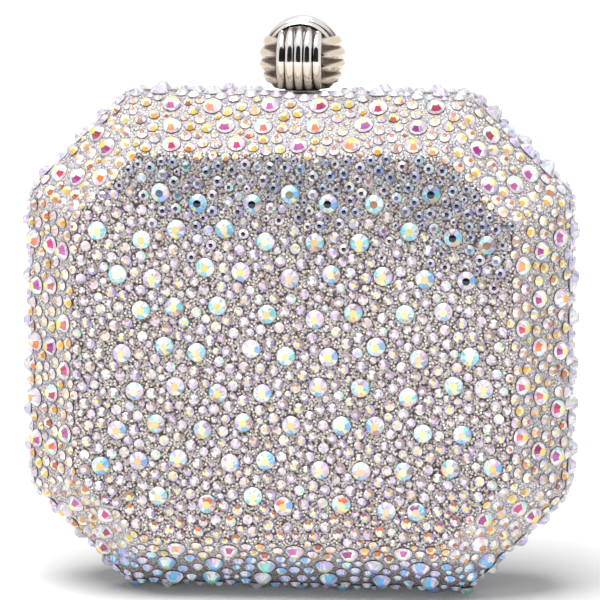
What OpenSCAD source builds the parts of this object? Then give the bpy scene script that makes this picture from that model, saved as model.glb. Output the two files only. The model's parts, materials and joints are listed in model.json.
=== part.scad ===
// Octagonal crystal evening case with a knotted ball clasp.
// Millimetres. Origin under the middle of the closed case, on the surface it stands on.
// +Z is up, -Y is the front (the lid), +X is to the right seen from the front.
// The two halves meet at the plane y = 0 and the lid turns on two hinges along the bottom.

/* [Case] */
// Width over the shells, without the crystals
case_w = 132; // [126:1:140]
// Height over the shells, without the crystals
case_h = 120.5; // [116:0.5:128]
// How far the 45 degree corners are cut back along each side
corner_cut = 24; // [20:1:28]
// Depth of one half, from the parting plane to the flat panel
half_depth = 21.5; // [20.5:0.5:24]
// Thickness of the shell wall
wall = 1.2; // [1:0.1:1.5]
// Straight part of the side band in each half
band_depth = 5; // [4.8:0.1:5.4]
// Radius that rolls the side band into the bevelled border
shoulder_r = 7; // [6:0.5:8]
// Angle of the bevelled border from the side band, in degrees
bevel_angle = 44; // [42:1:50]
// Radius between the bevelled border and the flat panel
rim_r = 2.5; // [2:0.5:3]

/* [Crystals] */
// Girdle diameter of a large crystal
crystal_d = 4.8; // [4.2:0.1:4.8]
// Height of a large crystal
crystal_h = 1.9; // [1.8:0.1:1.9]
// Distance between large crystals on the flat panel
crystal_pitch = 10.7; // [10:0.1:13]
// Girdle diameter of a medium crystal on the border
border_d = 3; // [2.8:0.1:3.1]
// Girdle diameter of a medium crystal on the flat panel
panel_d = 2.8; // [2.6:0.1:2.9]
// Height of a medium crystal
medium_h = 1.1; // [0.9:0.1:1.3]
// Least distance between medium crystals on the flat panel
panel_spacing = 3.05; // [3:0.05:4]
// Least distance between medium crystals on the border
border_spacing = 3.1; // [3.1:0.05:4]

/* [Clasp] */
// Radius of the knotted ball
ball_r = 10.65; // [10:0.05:11]
// Distance of the clasp axis behind the parting plane
clasp_y = 3.7; // [3.6:0.1:4]
// Travel of the ball when it is pressed
press_travel = 1; // [0.8:0.1:1.2]
// Number of strands side by side on each face of the knot
strands = 5; // [3:2:5]
// Pitch of the strands
strand_pitch = 2.6; // [2.4:0.05:2.7]

/* [Hinges] */
// Distance of each hinge from the middle
hinge_x = 22; // [20:1:25]
// Length of one hinge
hinge_w = 9.6; // [9:0.1:10.5]
// Outer radius of a knuckle
knuckle_r = 1.15; // [1.1:0.01:1.2]
// Radius of the hinge pin
pin_r = 0.5; // [0.45:0.01:0.5]

/* [Hidden] */
$fn = 48;

silver = [0.80, 0.80, 0.82];
lining_colour = [0.72, 0.70, 0.68];
crystal_colour = [0.86, 0.84, 0.93];

// Assembly gaps: glue under a crystal or a lining, parting gap of one half, running fit of a pin
glue = 0.05;
parting = 0.15;
running = 0.05;

// The stones of the bottom row carry the case, so the shells start above them
shell_z = crystal_h + glue;
centre_z = shell_z + case_h / 2;
top_z = shell_z + case_h;
half_w = case_w / 2;
half_h = case_h / 2;
diagonal = (half_w + half_h - corner_cut) * sqrt(0.5);

// Frame: a bead at the parting plane and a flange inside the shell
bead_out = 0.6;
bead_depth = 1.15;
flange_t = 1.2;
flange_depth = 4.8;
flange_top = top_z - wall - glue - flange_t;
shell_start = 1.2;
lining_t = 1.0;
lining_gap = 0.1;

// Corner radii of the octagon at the side band and at the flat panel
corner_r = 5;
panel_corner_r = 2;

// Clasp stack, from the ball down
stem_r = 1.4;
collar_neck_r = 2.4;
collar_flange_r = 4.4;
collar_h = 1.2;
ball_base_z = top_z + press_travel + glue;
ball_base_r = 8.1;
ball_z = ball_base_z + sqrt(ball_r * ball_r - ball_base_r * ball_base_r);
ball_clear_r = 9.8;
housing_floor_z = top_z - 15.6;
housing_w = 18;
housing_d = 9;
housing_t = 1;
housing_y = 1.6;
plate_z = top_z - 8.4;
plate_t = 1;
prong_z = plate_z + 3.1;
prong_t = 1;
ear_t = 1.4;
screw_r = 0.75;
wire_r = 0.2;
spring_r = 1.8;
spring_turns = 5;

// Hinge axis, on the parting plane at the frames' outer edge
hinge_z = shell_z - bead_out - 0.05;
leaf_t = 0.8;
web_y = 0.25;
foot_d = 4.3;

// Outline of the octagon, with side 0 to the right and the others counter-clockwise
function side_angle(k) = 45 * k;
function side_dist(k) = k % 2 == 1 ? diagonal : k % 4 == 0 ? half_w : half_h;
function unit(a) = [cos(a), sin(a)];
// Where sides k and k + 1 meet when both are moved in by inset
function meet(k, inset) =
    let (a = side_angle(k), b = side_angle(k + 1), p = side_dist(k) - inset, q = side_dist(k + 1) - inset)
    [p * sin(b) - q * sin(a), q * cos(a) - p * cos(b)] / sin(b - a);
function octagon(inset, r) = [for (k = [0:7], j = [0:3])
    meet(k, inset + r) + r * unit(side_angle(k) + 15 * j)];

// Profile of one half from the parting plane to the panel: [depth, inset, tilt of the surface]
shoulder_end = [band_depth + shoulder_r * sin(bevel_angle), shoulder_r * (1 - cos(bevel_angle))];
rim_start_depth = half_depth - rim_r * (1 - sin(bevel_angle));
rim_start_inset = shoulder_end[1] + (rim_start_depth - shoulder_end[0]) * tan(bevel_angle);
panel_inset = rim_start_inset + rim_r * cos(bevel_angle);
function shoulder_point(a) = [band_depth + shoulder_r * sin(a), shoulder_r * (1 - cos(a)), a];
function rim_point(a) = [half_depth - rim_r * (1 - sin(a)),
    rim_start_inset + rim_r * (cos(bevel_angle) - cos(a)), a];
profile = concat(
    [[shell_start, 0, 0]],
    [for (j = [0:4]) shoulder_point(bevel_angle * j / 4)],
    [for (j = [0:3]) rim_point(bevel_angle + (90 - bevel_angle) * j / 3)]);
// The same profile moved towards the inside of the wall, starting at depth start
function inner_profile(t, start) = [for (j = [0:len(profile) - 1])
    let (p = profile[j])
    j == 0 ? [start, t, 0] : [p[0] - t * sin(p[2]), p[1] + t * cos(p[2]), p[2]]];

// Arc length along the profile, used to place the crystals
shoulder_len = shoulder_r * bevel_angle * PI / 180;
shoulder_at = band_depth - shell_start;
bevel_at = shoulder_at + shoulder_len;
bevel_len = (rim_start_depth - shoulder_end[0]) / cos(bevel_angle);
function along(s) =
    s < shoulder_at ? [shell_start + s, 0, 0]
    : s < bevel_at ? shoulder_point((s - shoulder_at) / shoulder_r * 180 / PI)
    : [shoulder_end[0] + (s - bevel_at) * cos(bevel_angle),
        shoulder_end[1] + (s - bevel_at) * sin(bevel_angle), bevel_angle];

// Turns a drawing in the outline's plane, depth upwards, into the front half
module front_half() translate([0, 0, centre_z]) rotate([90, 0, 0]) children();
module back_half() mirror([0, 1, 0]) front_half() children();

// Closed wall between an outer and an inner profile, both from the parting plane to the panel
ring_size = 32;
module tray(outer, inner) {
    path = concat(outer, [for (j = [len(inner) - 1:-1:0]) inner[j]]);
    turn = len(outer) - 1;
    points = [for (p = path, q = octagon(p[1], max(panel_corner_r, corner_r - p[1] / 4))) [q[0], q[1], p[0]]];
    walls = [for (i = [0:len(path) - 1], j = [0:ring_size - 1])
        let (a = i * ring_size,
            b = (i + 1) % len(path) * ring_size,
            n = (j + 1) % ring_size)
        if (i != turn)
            each [[a + j, b + j, b + n], [a + j, b + n, a + n]]];
    panel = [for (j = [ring_size - 1:-1:0]) turn * ring_size + j];
    inside = [for (j = [0:ring_size - 1]) (turn + 1) * ring_size + j];
    polyhedron(points, concat(walls, [panel], [inside]));
}

module ring(outer_inset, inner_inset, from, to) {
    translate([0, 0, from])
        linear_extrude(to - from)
            difference() {
                polygon(octagon(outer_inset, corner_r));
                polygon(octagon(inner_inset, corner_r - 1));
            }
}

// Room in the shells and frames for the hinges, on both sides of the parting plane
hinge_gap = 0.3;
shell_room_h = shell_z + wall + 0.1;
shell_room_d = 1.5;
module hinge_rooms(height, depth) {
    for (s = [-1, 1])
        translate([s * hinge_x - hinge_w / 2 - hinge_gap, -depth, -1])
            cube([hinge_w + 2 * hinge_gap, 2 * depth, height + 1]);
}

module shell() tray(profile, inner_profile(wall, shell_start));

module front_shell() {
    color(silver)
        difference() {
            front_half() shell();
            hinge_rooms(shell_room_h, shell_room_d);
        }
}

module back_shell() {
    color(silver)
        difference() {
            back_half() shell();
            hinge_rooms(shell_room_h, shell_room_d);
            translate([0, clasp_y, top_z - 5]) cylinder(h = 10, r = collar_neck_r + 0.05);
        }
}

module frame_rings() {
    union() {
        ring(-bead_out, wall + glue + flange_t, parting, bead_depth);
        ring(wall + glue, wall + glue + flange_t, parting, flange_depth);
    }
}

foot_z = shell_z + wall + glue + flange_t;
rivet_r = 0.7;
rivet_x = 3;
rivet_y = 3;
strike_x = 5.4;

module rivet_holes(side) {
    for (s = [-1, 1], t = [-1, 1])
        translate([s * hinge_x + t * rivet_x, side * rivet_y, 0])
            cylinder(h = foot_z + 2, r = rivet_r);
}

// Room under the ball, where the beads end level with the shells
module ball_room() {
    translate([0, clasp_y, top_z - glue]) cylinder(h = 5, r = ball_clear_r);
}

module front_frame() {
    color(silver)
        difference() {
            front_half() frame_rings();
            ball_room();
            hinge_rooms(shell_room_h, shell_room_d);
            hinge_rooms(foot_z + 1, web_y + leaf_t + 0.07);
            rivet_holes(-1);
            for (t = [-1, 1])
                translate([t * strike_x, -rivet_y, flange_top - 1])
                    cylinder(h = 3, r = rivet_r);
        }
}

module back_frame() {
    color(silver)
        difference() {
            back_half() frame_rings();
            ball_room();
            hinge_rooms(shell_room_h, shell_room_d);
            hinge_rooms(foot_z + 1, web_y + leaf_t + 0.07);
            rivet_holes(1);
            translate([0, clasp_y, flange_top - 1]) cylinder(h = 4, r = collar_neck_r + 0.05);
            for (t = [-1, 1])
                translate([t * (housing_w / 2 + 2), rivet_y, flange_top - 1])
                    cylinder(h = 3, r = screw_r);
        }
}

module lining() {
    tray(inner_profile(wall + lining_gap, band_depth),
        inner_profile(wall + lining_gap + lining_t, band_depth));
}

module front_lining() {
    color(lining_colour) front_half() lining();
}

module back_lining() {
    color(lining_colour)
        difference() {
            back_half() lining();
            translate([-housing_w / 2 - 0.4, 0, housing_floor_z - 0.4])
                cube([housing_w + 0.8, housing_y + housing_d + 0.4, 30]);
        }
}

// One flat-backed crystal: girdle, crown and table
module crystal() {
    girdle = 0.35;
    table_r = crystal_d * 0.28;
    rotate_extrude($fn = 32)
        polygon([[0, 0], [crystal_d / 2, 0], [crystal_d / 2, girdle], [table_r, crystal_h], [0, crystal_h]]);
}

// Sets children on side k of the octagon, u along the side and s along the profile
module on_side(k, u, s) {
    a = side_angle(k);
    p = along(s);
    place = (side_dist(k) - p[1]) * unit(a) + u * unit(a + 90);
    lift = glue * unit(p[2]);
    translate([place[0] + lift[0] * cos(a), place[1] + lift[0] * sin(a), p[0] + lift[1]])
        rotate([0, 90 - p[2], a])
            children();
}

// Rows of crystals across the band and the bevel, as arc lengths from the shell's edge
rows = [3.3, 9.7, 15.9, 21.9];
row_pitch = 13.2;
// Added to the count of crystals in even and in odd rows, before it is rounded down
row_extra = [1, 0.4];
// How far a crystal is shaken along its row, as a share of its room and at most, and across it
shake_share = 0.2;
shake_most = 1.9;
shake_across = 0.55;
corner_room = 2.6;
top_side = 2;
bottom_side = 6;
function side_start(k, s) = meet((k + 7) % 8, along(s)[1]) * unit(side_angle(k) + 90) + corner_room;
function side_end(k, s) = meet(k, along(s)[1]) * unit(side_angle(k) + 90) - corner_room;
// Evenly spread places along side k in row r, each one shaken a little: [u, s]
function row_places(k, r, seed) =
    let (s = rows[r],
        from = side_start(k, s),
        to = side_end(k, s),
        count = max(1, floor((to - from) / row_pitch + row_extra[r % 2])),
        step = (to - from) / count,
        reach = min(shake_most, step * shake_share),
        shake = rands(-1, 1, 2 * count, seed + 10 * k + r))
    [for (j = [0:count - 1])
        [from + step * (j + 0.5) + reach * shake[2 * j], s + shake_across * shake[2 * j + 1]]];

// Whether a crystal on the top side stays clear of the ball
function clears_ball(u, s, y) =
    norm([u, sign(y) * along(s)[0] - clasp_y]) > ball_clear_r + crystal_d / 2;

// Places of the large crystals on side k: [u, s], side is -1 in front and 1 at the back
function side_places(k, side, seed) = [for (r = [0:len(rows) - 1], p = row_places(k, r, seed))
    if (!(k == bottom_side && r == 0) && (k != top_side || clears_ball(p[0], p[1], side))) p];

// Whether the point p of the flat panel lies inside its edge by room
function on_panel(p, room) =
    let (inset = panel_inset + room)
    abs(p[0]) < half_w - inset && abs(p[1]) < half_h - inset
        && (abs(p[0]) + abs(p[1])) * sqrt(0.5) < diagonal - inset;

// Places of the large crystals on the flat panel: a staggered grid, each one shaken a little
panel_shake = [1.8, 1.6];
panel_room = crystal_d * 0.62;
function panel_places(seed) =
    let (row_step = crystal_pitch * sqrt(0.75),
        columns = ceil(half_w / crystal_pitch),
        lines = ceil(half_h / row_step))
    [for (j = [-lines:lines], i = [-columns:columns])
        let (shake = rands(-1, 1, 2, seed + 1000 + 50 * j + i),
            stagger = j % 2 == 0 ? 0 : 0.5,
            p = [(i + stagger) * crystal_pitch + panel_shake[0] * shake[0], j * row_step + panel_shake[1] * shake[1]])
        if (on_panel(p, panel_room)) p];

module half_crystals(side, seed) {
    for (k = [0:7], p = side_places(k, side, seed))
        on_side(k, p[0], p[1])
            crystal();
    for (p = panel_places(seed))
        translate([p[0], p[1], half_depth + glue + 0.01])
            crystal();
}

module front_crystals() {
    color(crystal_colour) front_half() half_crystals(-1, 11);
}

module back_crystals() {
    color(crystal_colour) back_half() half_crystals(1, 42);
}

// Bottom rows, tables down on the surface, away from the hinges
base_y = 3.9;
base_places = [-40.5, -32.6, -10.4, 0.4, 10.9, 33.2, 41.1];
module base_row(side) {
    for (x = base_places)
        translate([x, side * base_y, crystal_h])
            mirror([0, 0, 1])
                crystal();
}

module front_base_crystals() {
    color(crystal_colour) base_row(-1);
}

module back_base_crystals() {
    color(crystal_colour) base_row(1);
}

// Medium crystals are thrown at random and kept where they clear the large ones and those kept before
between = 0.12;
medium_from = border_d / 2 + 0.15;
medium_to = bevel_at + bevel_len - 0.2;
medium_corner = 1.7;
panel_edge_room = 0.85;
ball_lean = 0.6;
hinge_side_room = 0.3;
hinge_edge_room = 1;
side_throws = 5000;
panel_throws = 12000;
function room_for(d) = (crystal_d + d) / 2 + between;
function apart(p, others, gap) = len([for (q = others) if (norm(p - q) < gap) 1]) == 0;
function kept(throws, gap, i = 0, list = []) =
    i == len(throws) ? list
    : kept(throws, gap, i + 1, apart(throws[i], list, gap) ? concat(list, [throws[i]]) : list);

// Large crystals that the medium ones on side k keep clear of
function large_beside(k, side, seed) =
    concat(side_places(k, side, seed), k == bottom_side ? [for (x = base_places) [x, base_y - shell_start]] : []);
// Room round the ball, which medium crystals may come closer to than large ones, and round the hinges
function clears_fittings(k, p, side) =
    k == top_side ? norm([p[0], side * along(p[1])[0] - clasp_y]) > ball_clear_r - ball_lean + border_d / 2
    : k == bottom_side && abs(abs(p[0]) - hinge_x) < (hinge_w + border_d) / 2 + hinge_side_room
        ? p[1] > border_d / 2 + hinge_edge_room
    : true;
// Throw on side k, from two dice between 0 and 1: [u, s]
function side_throw(k, across, lengthwise) =
    let (s = medium_from + across * (medium_to - medium_from),
        from = side_start(k, s) - corner_room + medium_corner,
        to = side_end(k, s) + corner_room - medium_corner)
    [from + lengthwise * (to - from), s];
function side_mediums(k, side, seed) =
    let (dice = rands(0, 1, 2 * side_throws, seed + 10 * k + 5),
        large = large_beside(k, side, seed))
    kept([for (j = [0:side_throws - 1])
        let (p = side_throw(k, dice[2 * j], dice[2 * j + 1]))
        if (clears_fittings(k, p, side) && apart(p, large, room_for(border_d))) p], border_spacing);
function panel_mediums(seed) =
    let (dice = rands(-1, 1, 2 * panel_throws, seed + 500),
        large = panel_places(seed))
    kept([for (j = [0:panel_throws - 1])
        let (p = [dice[2 * j] * half_w, dice[2 * j + 1] * half_h])
        if (on_panel(p, panel_edge_room) && apart(p, large, room_for(panel_d))) p], panel_spacing);

// Plain cone cut off at the table
module medium_crystal(d) cylinder(h = medium_h, r1 = d / 2, r2 = d / 4, $fn = 24);

module half_medium_crystals(side, seed) {
    for (k = [0:7], p = side_mediums(k, side, seed))
        on_side(k, p[0], p[1])
            medium_crystal(border_d);
    for (p = panel_mediums(seed))
        translate([p[0], p[1], half_depth + glue + 0.01])
            medium_crystal(panel_d);
}

module front_medium_crystals() {
    color(crystal_colour) front_half() half_medium_crystals(-1, 11);
}

module back_medium_crystals() {
    color(crystal_colour) back_half() half_medium_crystals(1, 42);
}

// Hinges: the middle knuckle is the lid's, the outer two are the back's
knuckle_gap = 0.15;
knuckle_len = (hinge_w - 2 * knuckle_gap) / 3;
module knuckle(x) {
    translate([x - knuckle_len / 2, 0, hinge_z])
        rotate([0, 90, 0])
            cylinder(h = knuckle_len, r = knuckle_r);
}

module pin_bore() {
    translate([-hinge_w, 0, hinge_z])
        rotate([0, 90, 0])
            cylinder(h = 2 * hinge_w, r = pin_r + running);
}

// Web through the parting gap and foot over the flange, side -1 in front and 1 at the back
module leaf_plates(side, web_list) {
    from = min(side * web_y, side * (web_y + leaf_t));
    for (x = web_list)
        translate([x - knuckle_len / 2, from, hinge_z])
            cube([knuckle_len, leaf_t, foot_z + leaf_t - hinge_z]);
    translate([-hinge_w / 2, from, foot_z - 0.9])
        cube([hinge_w, leaf_t, leaf_t + 0.9 + glue]);
    difference() {
        translate([-hinge_w / 2, side > 0 ? web_y : -web_y - foot_d, foot_z + glue])
            cube([hinge_w, foot_d, leaf_t]);
        for (t = [-1, 1])
            translate([t * rivet_x, side * rivet_y, foot_z - 1])
                cylinder(h = 4, r = rivet_r);
    }
}

module front_hinge_leaf(x) {
    color(silver)
        translate([x, 0, 0])
            difference() {
                union() {
                    knuckle(0);
                    leaf_plates(-1, [0]);
                }
                pin_bore();
            }
}

module back_hinge_leaf(x) {
    outer = knuckle_len + knuckle_gap;
    color(silver)
        translate([x, 0, 0])
            difference() {
                union() {
                    knuckle(-outer);
                    knuckle(outer);
                    leaf_plates(1, [-outer, outer]);
                }
                pin_bore();
            }
}

module front_hinge_leaf_left() front_hinge_leaf(-hinge_x);
module front_hinge_leaf_right() front_hinge_leaf(hinge_x);
module back_hinge_leaf_left() back_hinge_leaf(-hinge_x);
module back_hinge_leaf_right() back_hinge_leaf(hinge_x);

module hinge_pin(x) {
    color(silver)
        translate([x - hinge_w / 2 - 0.25, 0, hinge_z])
            rotate([0, 90, 0]) {
                cylinder(h = hinge_w + 0.5, r = pin_r);
                cylinder(h = 0.2, r = pin_r + 0.25);
                translate([0, 0, hinge_w + 0.3]) cylinder(h = 0.2, r = pin_r + 0.25);
            }
}

module hinge_pin_left() hinge_pin(-hinge_x);
module hinge_pin_right() hinge_pin(hinge_x);

// Rivet through a flange and the plate on it, heads up, from the flange's far face
module rivet(length) {
    cylinder(h = length, r = rivet_r - 0.02);
    translate([0, 0, length])
        rotate_extrude()
            polygon([[0, 0], [1.2, 0], [1.1, 0.25], [0.7, 0.45], [0, 0.5]]);
}

module hinge_rivets(side) {
    color(silver)
        for (s = [-1, 1], t = [-1, 1])
            translate([s * hinge_x + t * rivet_x, side * rivet_y, foot_z - flange_t])
                rivet(flange_t + glue + leaf_t + 0.01);
}

module front_hinge_rivets() hinge_rivets(-1);
module back_hinge_rivets() hinge_rivets(1);

// Strand of the knot: an arc over the face +X, in a plane at height offset, its ends dipping under the next face
knot_reach = ball_r - strand_r();
function strand_r() = strand_pitch * 0.52;
strand_dip = 1.3;
strand_half_angle = 72;
module strand(offset) {
    reach = sqrt(knot_reach * knot_reach - offset * offset) - strand_dip;
    translate([strand_dip, 0, offset])
        rotate([0, 0, -strand_half_angle])
            rotate_extrude(angle = 2 * strand_half_angle)
                translate([reach, 0])
                    circle(r = strand_r(), $fn = 24);
}

module knot_face() {
    middle = (strands - 1) / 2;
    for (i = [0:strands - 1])
        strand((i - middle) * strand_pitch);
}

// Strands run up on the front and back, level on the sides, and left to right on the top
module clasp_ball() {
    color(silver)
        translate([0, clasp_y, ball_z])
            difference() {
                union() {
                    sphere(r = ball_r - 0.75);
                    knot_face();
                    rotate([0, 0, 180]) knot_face();
                    for (a = [90, 270])
                        rotate([0, 0, a])
                            rotate([90, 0, 0])
                                knot_face();
                    rotate([90, 0, 0])
                        rotate([0, 0, 90])
                            knot_face();
                }
                translate([0, 0, -ball_r - 5])
                    cylinder(h = ball_r + 5 - (ball_z - ball_base_z), r = ball_r + 2);
                translate([0, 0, ball_base_z - ball_z - 1])
                    cylinder(h = 3.4, r = collar_flange_r + 0.6);
                translate([0, 0, ball_base_z - ball_z - 1])
                    cylinder(h = 6, r = stem_r);
            }
}

stem_top = ball_base_z + 5;
stem_bottom = housing_floor_z - 3.2;
clip_z = housing_floor_z - 1;

module clasp_stem() {
    color(silver)
        translate([0, clasp_y, 0])
            difference() {
                translate([0, 0, stem_bottom])
                    cylinder(h = stem_top - stem_bottom, r = stem_r);
                translate([0, 0, clip_z])
                    difference() {
                        cylinder(h = 0.8, r = stem_r + 1);
                        translate([0, 0, -1]) cylinder(h = 3, r = stem_r - 0.4);
                    }
            }
}

// Split clip in the stem's groove, under the housing floor
module stem_clip() {
    color(silver)
        translate([0, clasp_y, clip_z + 0.05])
            difference() {
                cylinder(h = 0.7, r = 3);
                translate([0, 0, -1]) cylinder(h = 3, r = stem_r - 0.37);
                translate([-0.9, 0, -1]) cube([1.8, 5, 3]);
            }
}

module clasp_collar() {
    color(silver)
        translate([0, clasp_y, 0])
            difference() {
                union() {
                    translate([0, 0, top_z + 0.02])
                        rotate_extrude()
                            polygon([[0, 0], [collar_flange_r, 0], [collar_flange_r, 0.5],
                                [3, 0.7], [2.7, collar_h], [0, collar_h]]);
                    translate([0, 0, flange_top + 0.1])
                        cylinder(h = top_z + 0.1 - flange_top, r = collar_neck_r);
                }
                translate([0, 0, flange_top - 1])
                    cylinder(h = 10, r = stem_r + running);
            }
}

// Latch plate on the stem, with a raised tooth along its rear edge
tooth_y = 6;
tooth_h = 0.6;
plate_w = 13;
module latch_plate() {
    color(silver)
        difference() {
            union() {
                translate([-plate_w / 2, housing_y + 0.6, plate_z])
                    cube([plate_w, tooth_y + 1.3 - housing_y - 0.6, plate_t]);
                translate([-plate_w / 2, tooth_y, plate_z])
                    cube([plate_w, 1.3, plate_t + tooth_h]);
            }
            translate([0, clasp_y, plate_z - 1]) cylinder(h = 4, r = stem_r);
        }
}

module latch_housing() {
    inner_w = housing_w - 2 * housing_t;
    top = flange_top - glue;
    color(silver)
        difference() {
            union() {
                translate([-housing_w / 2, housing_y, housing_floor_z])
                    cube([housing_w, housing_d, top - housing_floor_z]);
                for (t = [-1, 1])
                    translate([t * (housing_w / 2 + 1.9) - 2.1, housing_y, top - ear_t])
                        cube([4.2, flange_depth - housing_y, ear_t]);
            }
            translate([-inner_w / 2, housing_y - 1, housing_floor_z + housing_t])
                cube([inner_w, housing_d + 1 - housing_t, top]);
            translate([0, clasp_y, housing_floor_z - 1]) cylinder(h = 4, r = stem_r + running);
            for (t = [-1, 1])
                translate([t * (housing_w / 2 + 2), rivet_y, top - ear_t - 1])
                    cylinder(h = 4, r = screw_r);
            beyond_bevel();
        }
}

// Block behind the back shell's inner face at the top bevel, which trims the housing to fit under it
module beyond_bevel() {
    clearance = 0.3;
    edge = inner_profile(wall + clearance, shell_start)[5];
    translate([-housing_w, edge[0], top_z - edge[1]])
        rotate([-bevel_angle, 0, 0])
            translate([0, -10, 0])
                cube([2 * housing_w, 30, 10]);
}

cover_h = 6.4;
module latch_cover() {
    color(silver)
        difference() {
            translate([-housing_w / 2, housing_y - 0.85, housing_floor_z])
                cube([housing_w, 0.8, cover_h]);
            for (t = [-1, 1])
                translate([t * (housing_w / 2 - 0.5), housing_y, housing_floor_z + cover_h / 2])
                    rotate([90, 0, 0])
                        cylinder(h = 3, r = 0.3, center = true);
        }
}

module latch_screws() {
    color(silver)
        for (t = [-1, 1])
            translate([t * (housing_w / 2 + 2), rivet_y, flange_top - glue - ear_t - 0.61])
                difference() {
                    union() {
                        cylinder(h = 0.6, r = 1.3);
                        cylinder(h = ear_t + glue + flange_t + 0.5, r = screw_r - 0.02);
                    }
                    translate([-2, -0.2, -1]) cube([4, 0.4, 1.3]);
                }
}

// Return spring between the housing floor and the latch plate, one tube along a helix
spring_low = housing_floor_z + housing_t + wire_r + 0.05;
spring_high = plate_z - wire_r - 0.05;
rings_per_turn = 10;
ring_sides = 6;
module return_spring() {
    steps = spring_turns * rings_per_turn;
    rise = spring_high - spring_low;
    function spot(i, j) =
        let (a = 360 * i / rings_per_turn,
            b = 360 * j / ring_sides,
            r = spring_r + wire_r * cos(b))
        [r * cos(a), r * sin(a), spring_low + rise * i / steps + wire_r * sin(b)];
    points = [for (i = [0:steps], j = [0:ring_sides - 1]) spot(i, j)];
    side_faces = [for (i = [0:steps - 1], j = [0:ring_sides - 1])
        let (n = (j + 1) % ring_sides, a = i * ring_sides, b = a + ring_sides)
        each [[a + j, b + j, b + n], [a + j, b + n, a + n]]];
    first = [for (j = [0:ring_sides - 1]) j];
    last = [for (j = [ring_sides - 1:-1:0]) steps * ring_sides + j];
    color(silver)
        translate([0, clasp_y, 0])
            polyhedron(points, concat(side_faces, [first], [last]));
}

// Strike plate on the lid: two prongs that reach past the stem and hook down behind the tooth
prong_w = 2.6;
prong_gap = 2.7;
hook_y = 7.9;
hook_t = 1;
hook_clear = 0.3;
module strike_plate() {
    hook_low = plate_z + plate_t + tooth_h + hook_clear;
    color(silver)
        difference() {
            union() {
                translate([-strike_x - 1.6, -flange_depth + 0.2, flange_top - glue - prong_t])
                    cube([2 * strike_x + 3.2, flange_depth - 0.4, prong_t]);
                translate([-strike_x - 1.6, -1.2, prong_z])
                    cube([2 * strike_x + 3.2, 1, flange_top - glue - prong_z]);
                for (t = [-1, 1]) {
                    translate([t > 0 ? prong_gap : -prong_gap - prong_w, -1.2, prong_z])
                        cube([prong_w, hook_y + hook_t + 1.2, prong_t]);
                    translate([t > 0 ? prong_gap : -prong_gap - prong_w, hook_y, hook_low])
                        cube([prong_w, hook_t, prong_z + prong_t - hook_low]);
                }
            }
            for (t = [-1, 1])
                translate([t * strike_x, -rivet_y, flange_top - 3])
                    cylinder(h = 4, r = rivet_r);
        }
}

module strike_rivets() {
    color(silver)
        for (t = [-1, 1])
            translate([t * strike_x, -rivet_y, flange_top + flange_t])
                mirror([0, 0, 1])
                    rivet(flange_t + glue + prong_t + 0.01);
}

// Fixed eye on the back frame's flange, for a shoulder chain
eye_r = 1.5;
eye_t = 1.6;
eye_z = 90;
module chain_eye(side) {
    wall_x = half_w - wall - glue - flange_t;
    reach = 6.4;
    color(silver)
        translate([side * (wall_x - 0.02), 2, eye_z])
            mirror([side > 0 ? 1 : 0, 0, 0])
                rotate([-90, 0, 0])
                    difference() {
                        union() {
                            translate([0, -3, 0]) cube([1, 6, eye_t + 1]);
                            translate([reach - 3, 0, 0]) cylinder(h = eye_t, r = 3);
                            translate([0, -1.8, 0]) cube([reach - 3, 3.6, eye_t]);
                        }
                        translate([reach - 3, 0, -1]) cylinder(h = 6, r = eye_r);
                    }
}

module chain_eye_left() chain_eye(-1);
module chain_eye_right() chain_eye(1);

back_shell();
back_frame();
back_lining();
back_crystals();
back_medium_crystals();
back_base_crystals();
back_hinge_leaf_left();
back_hinge_leaf_right();
hinge_pin_left();
hinge_pin_right();
back_hinge_rivets();
clasp_collar();
latch_housing();
latch_cover();
latch_screws();
return_spring();
chain_eye_left();
chain_eye_right();
front_shell();
front_frame();
front_lining();
front_crystals();
front_medium_crystals();
front_base_crystals();
front_hinge_leaf_left();
front_hinge_leaf_right();
front_hinge_rivets();
strike_plate();
strike_rivets();
clasp_ball();
clasp_stem();
latch_plate();
stem_clip();
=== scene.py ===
"""Looks of the octagonal crystal evening case: faceted crystals, knotted ball clasp, lining and metalwork."""
import json
import math

import bmesh
import bpy
import numpy as np
from mathutils import Matrix, Vector
from mathutils.kdtree import KDTree


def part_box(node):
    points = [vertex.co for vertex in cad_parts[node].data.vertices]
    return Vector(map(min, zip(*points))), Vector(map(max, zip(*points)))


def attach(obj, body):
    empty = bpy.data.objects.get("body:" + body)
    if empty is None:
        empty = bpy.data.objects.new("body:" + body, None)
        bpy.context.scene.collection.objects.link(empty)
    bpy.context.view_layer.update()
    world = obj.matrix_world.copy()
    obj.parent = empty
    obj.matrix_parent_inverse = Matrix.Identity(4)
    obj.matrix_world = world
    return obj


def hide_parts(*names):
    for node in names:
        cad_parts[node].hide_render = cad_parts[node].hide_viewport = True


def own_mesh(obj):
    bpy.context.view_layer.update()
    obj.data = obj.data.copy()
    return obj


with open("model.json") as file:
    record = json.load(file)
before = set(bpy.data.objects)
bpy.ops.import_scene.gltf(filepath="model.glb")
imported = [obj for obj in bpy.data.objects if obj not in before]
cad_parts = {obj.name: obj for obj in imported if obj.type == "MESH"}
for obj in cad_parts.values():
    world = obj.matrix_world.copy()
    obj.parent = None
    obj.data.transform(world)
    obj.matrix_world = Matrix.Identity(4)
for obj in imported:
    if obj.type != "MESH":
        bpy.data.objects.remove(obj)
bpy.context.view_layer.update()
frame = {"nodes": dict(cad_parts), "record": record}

MM = 0.001
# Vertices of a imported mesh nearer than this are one
MERGE = 0.001 * MM
FRONT, BACK = -1, 1
# Heights over the surface the case stands on: between the first two, the ground under the case is darkened with
# painted shade, and under the third, the crystals there have colours of their own
UNDER_LOW, UNDER_HIGH = 5 * MM, 14 * MM
UNDER_ZONE = 10.8 * MM
SIDE_NAME = {FRONT: "front", BACK: "back"}
SIDE_BODY = {FRONT: "lid", BACK: "case"}

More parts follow.
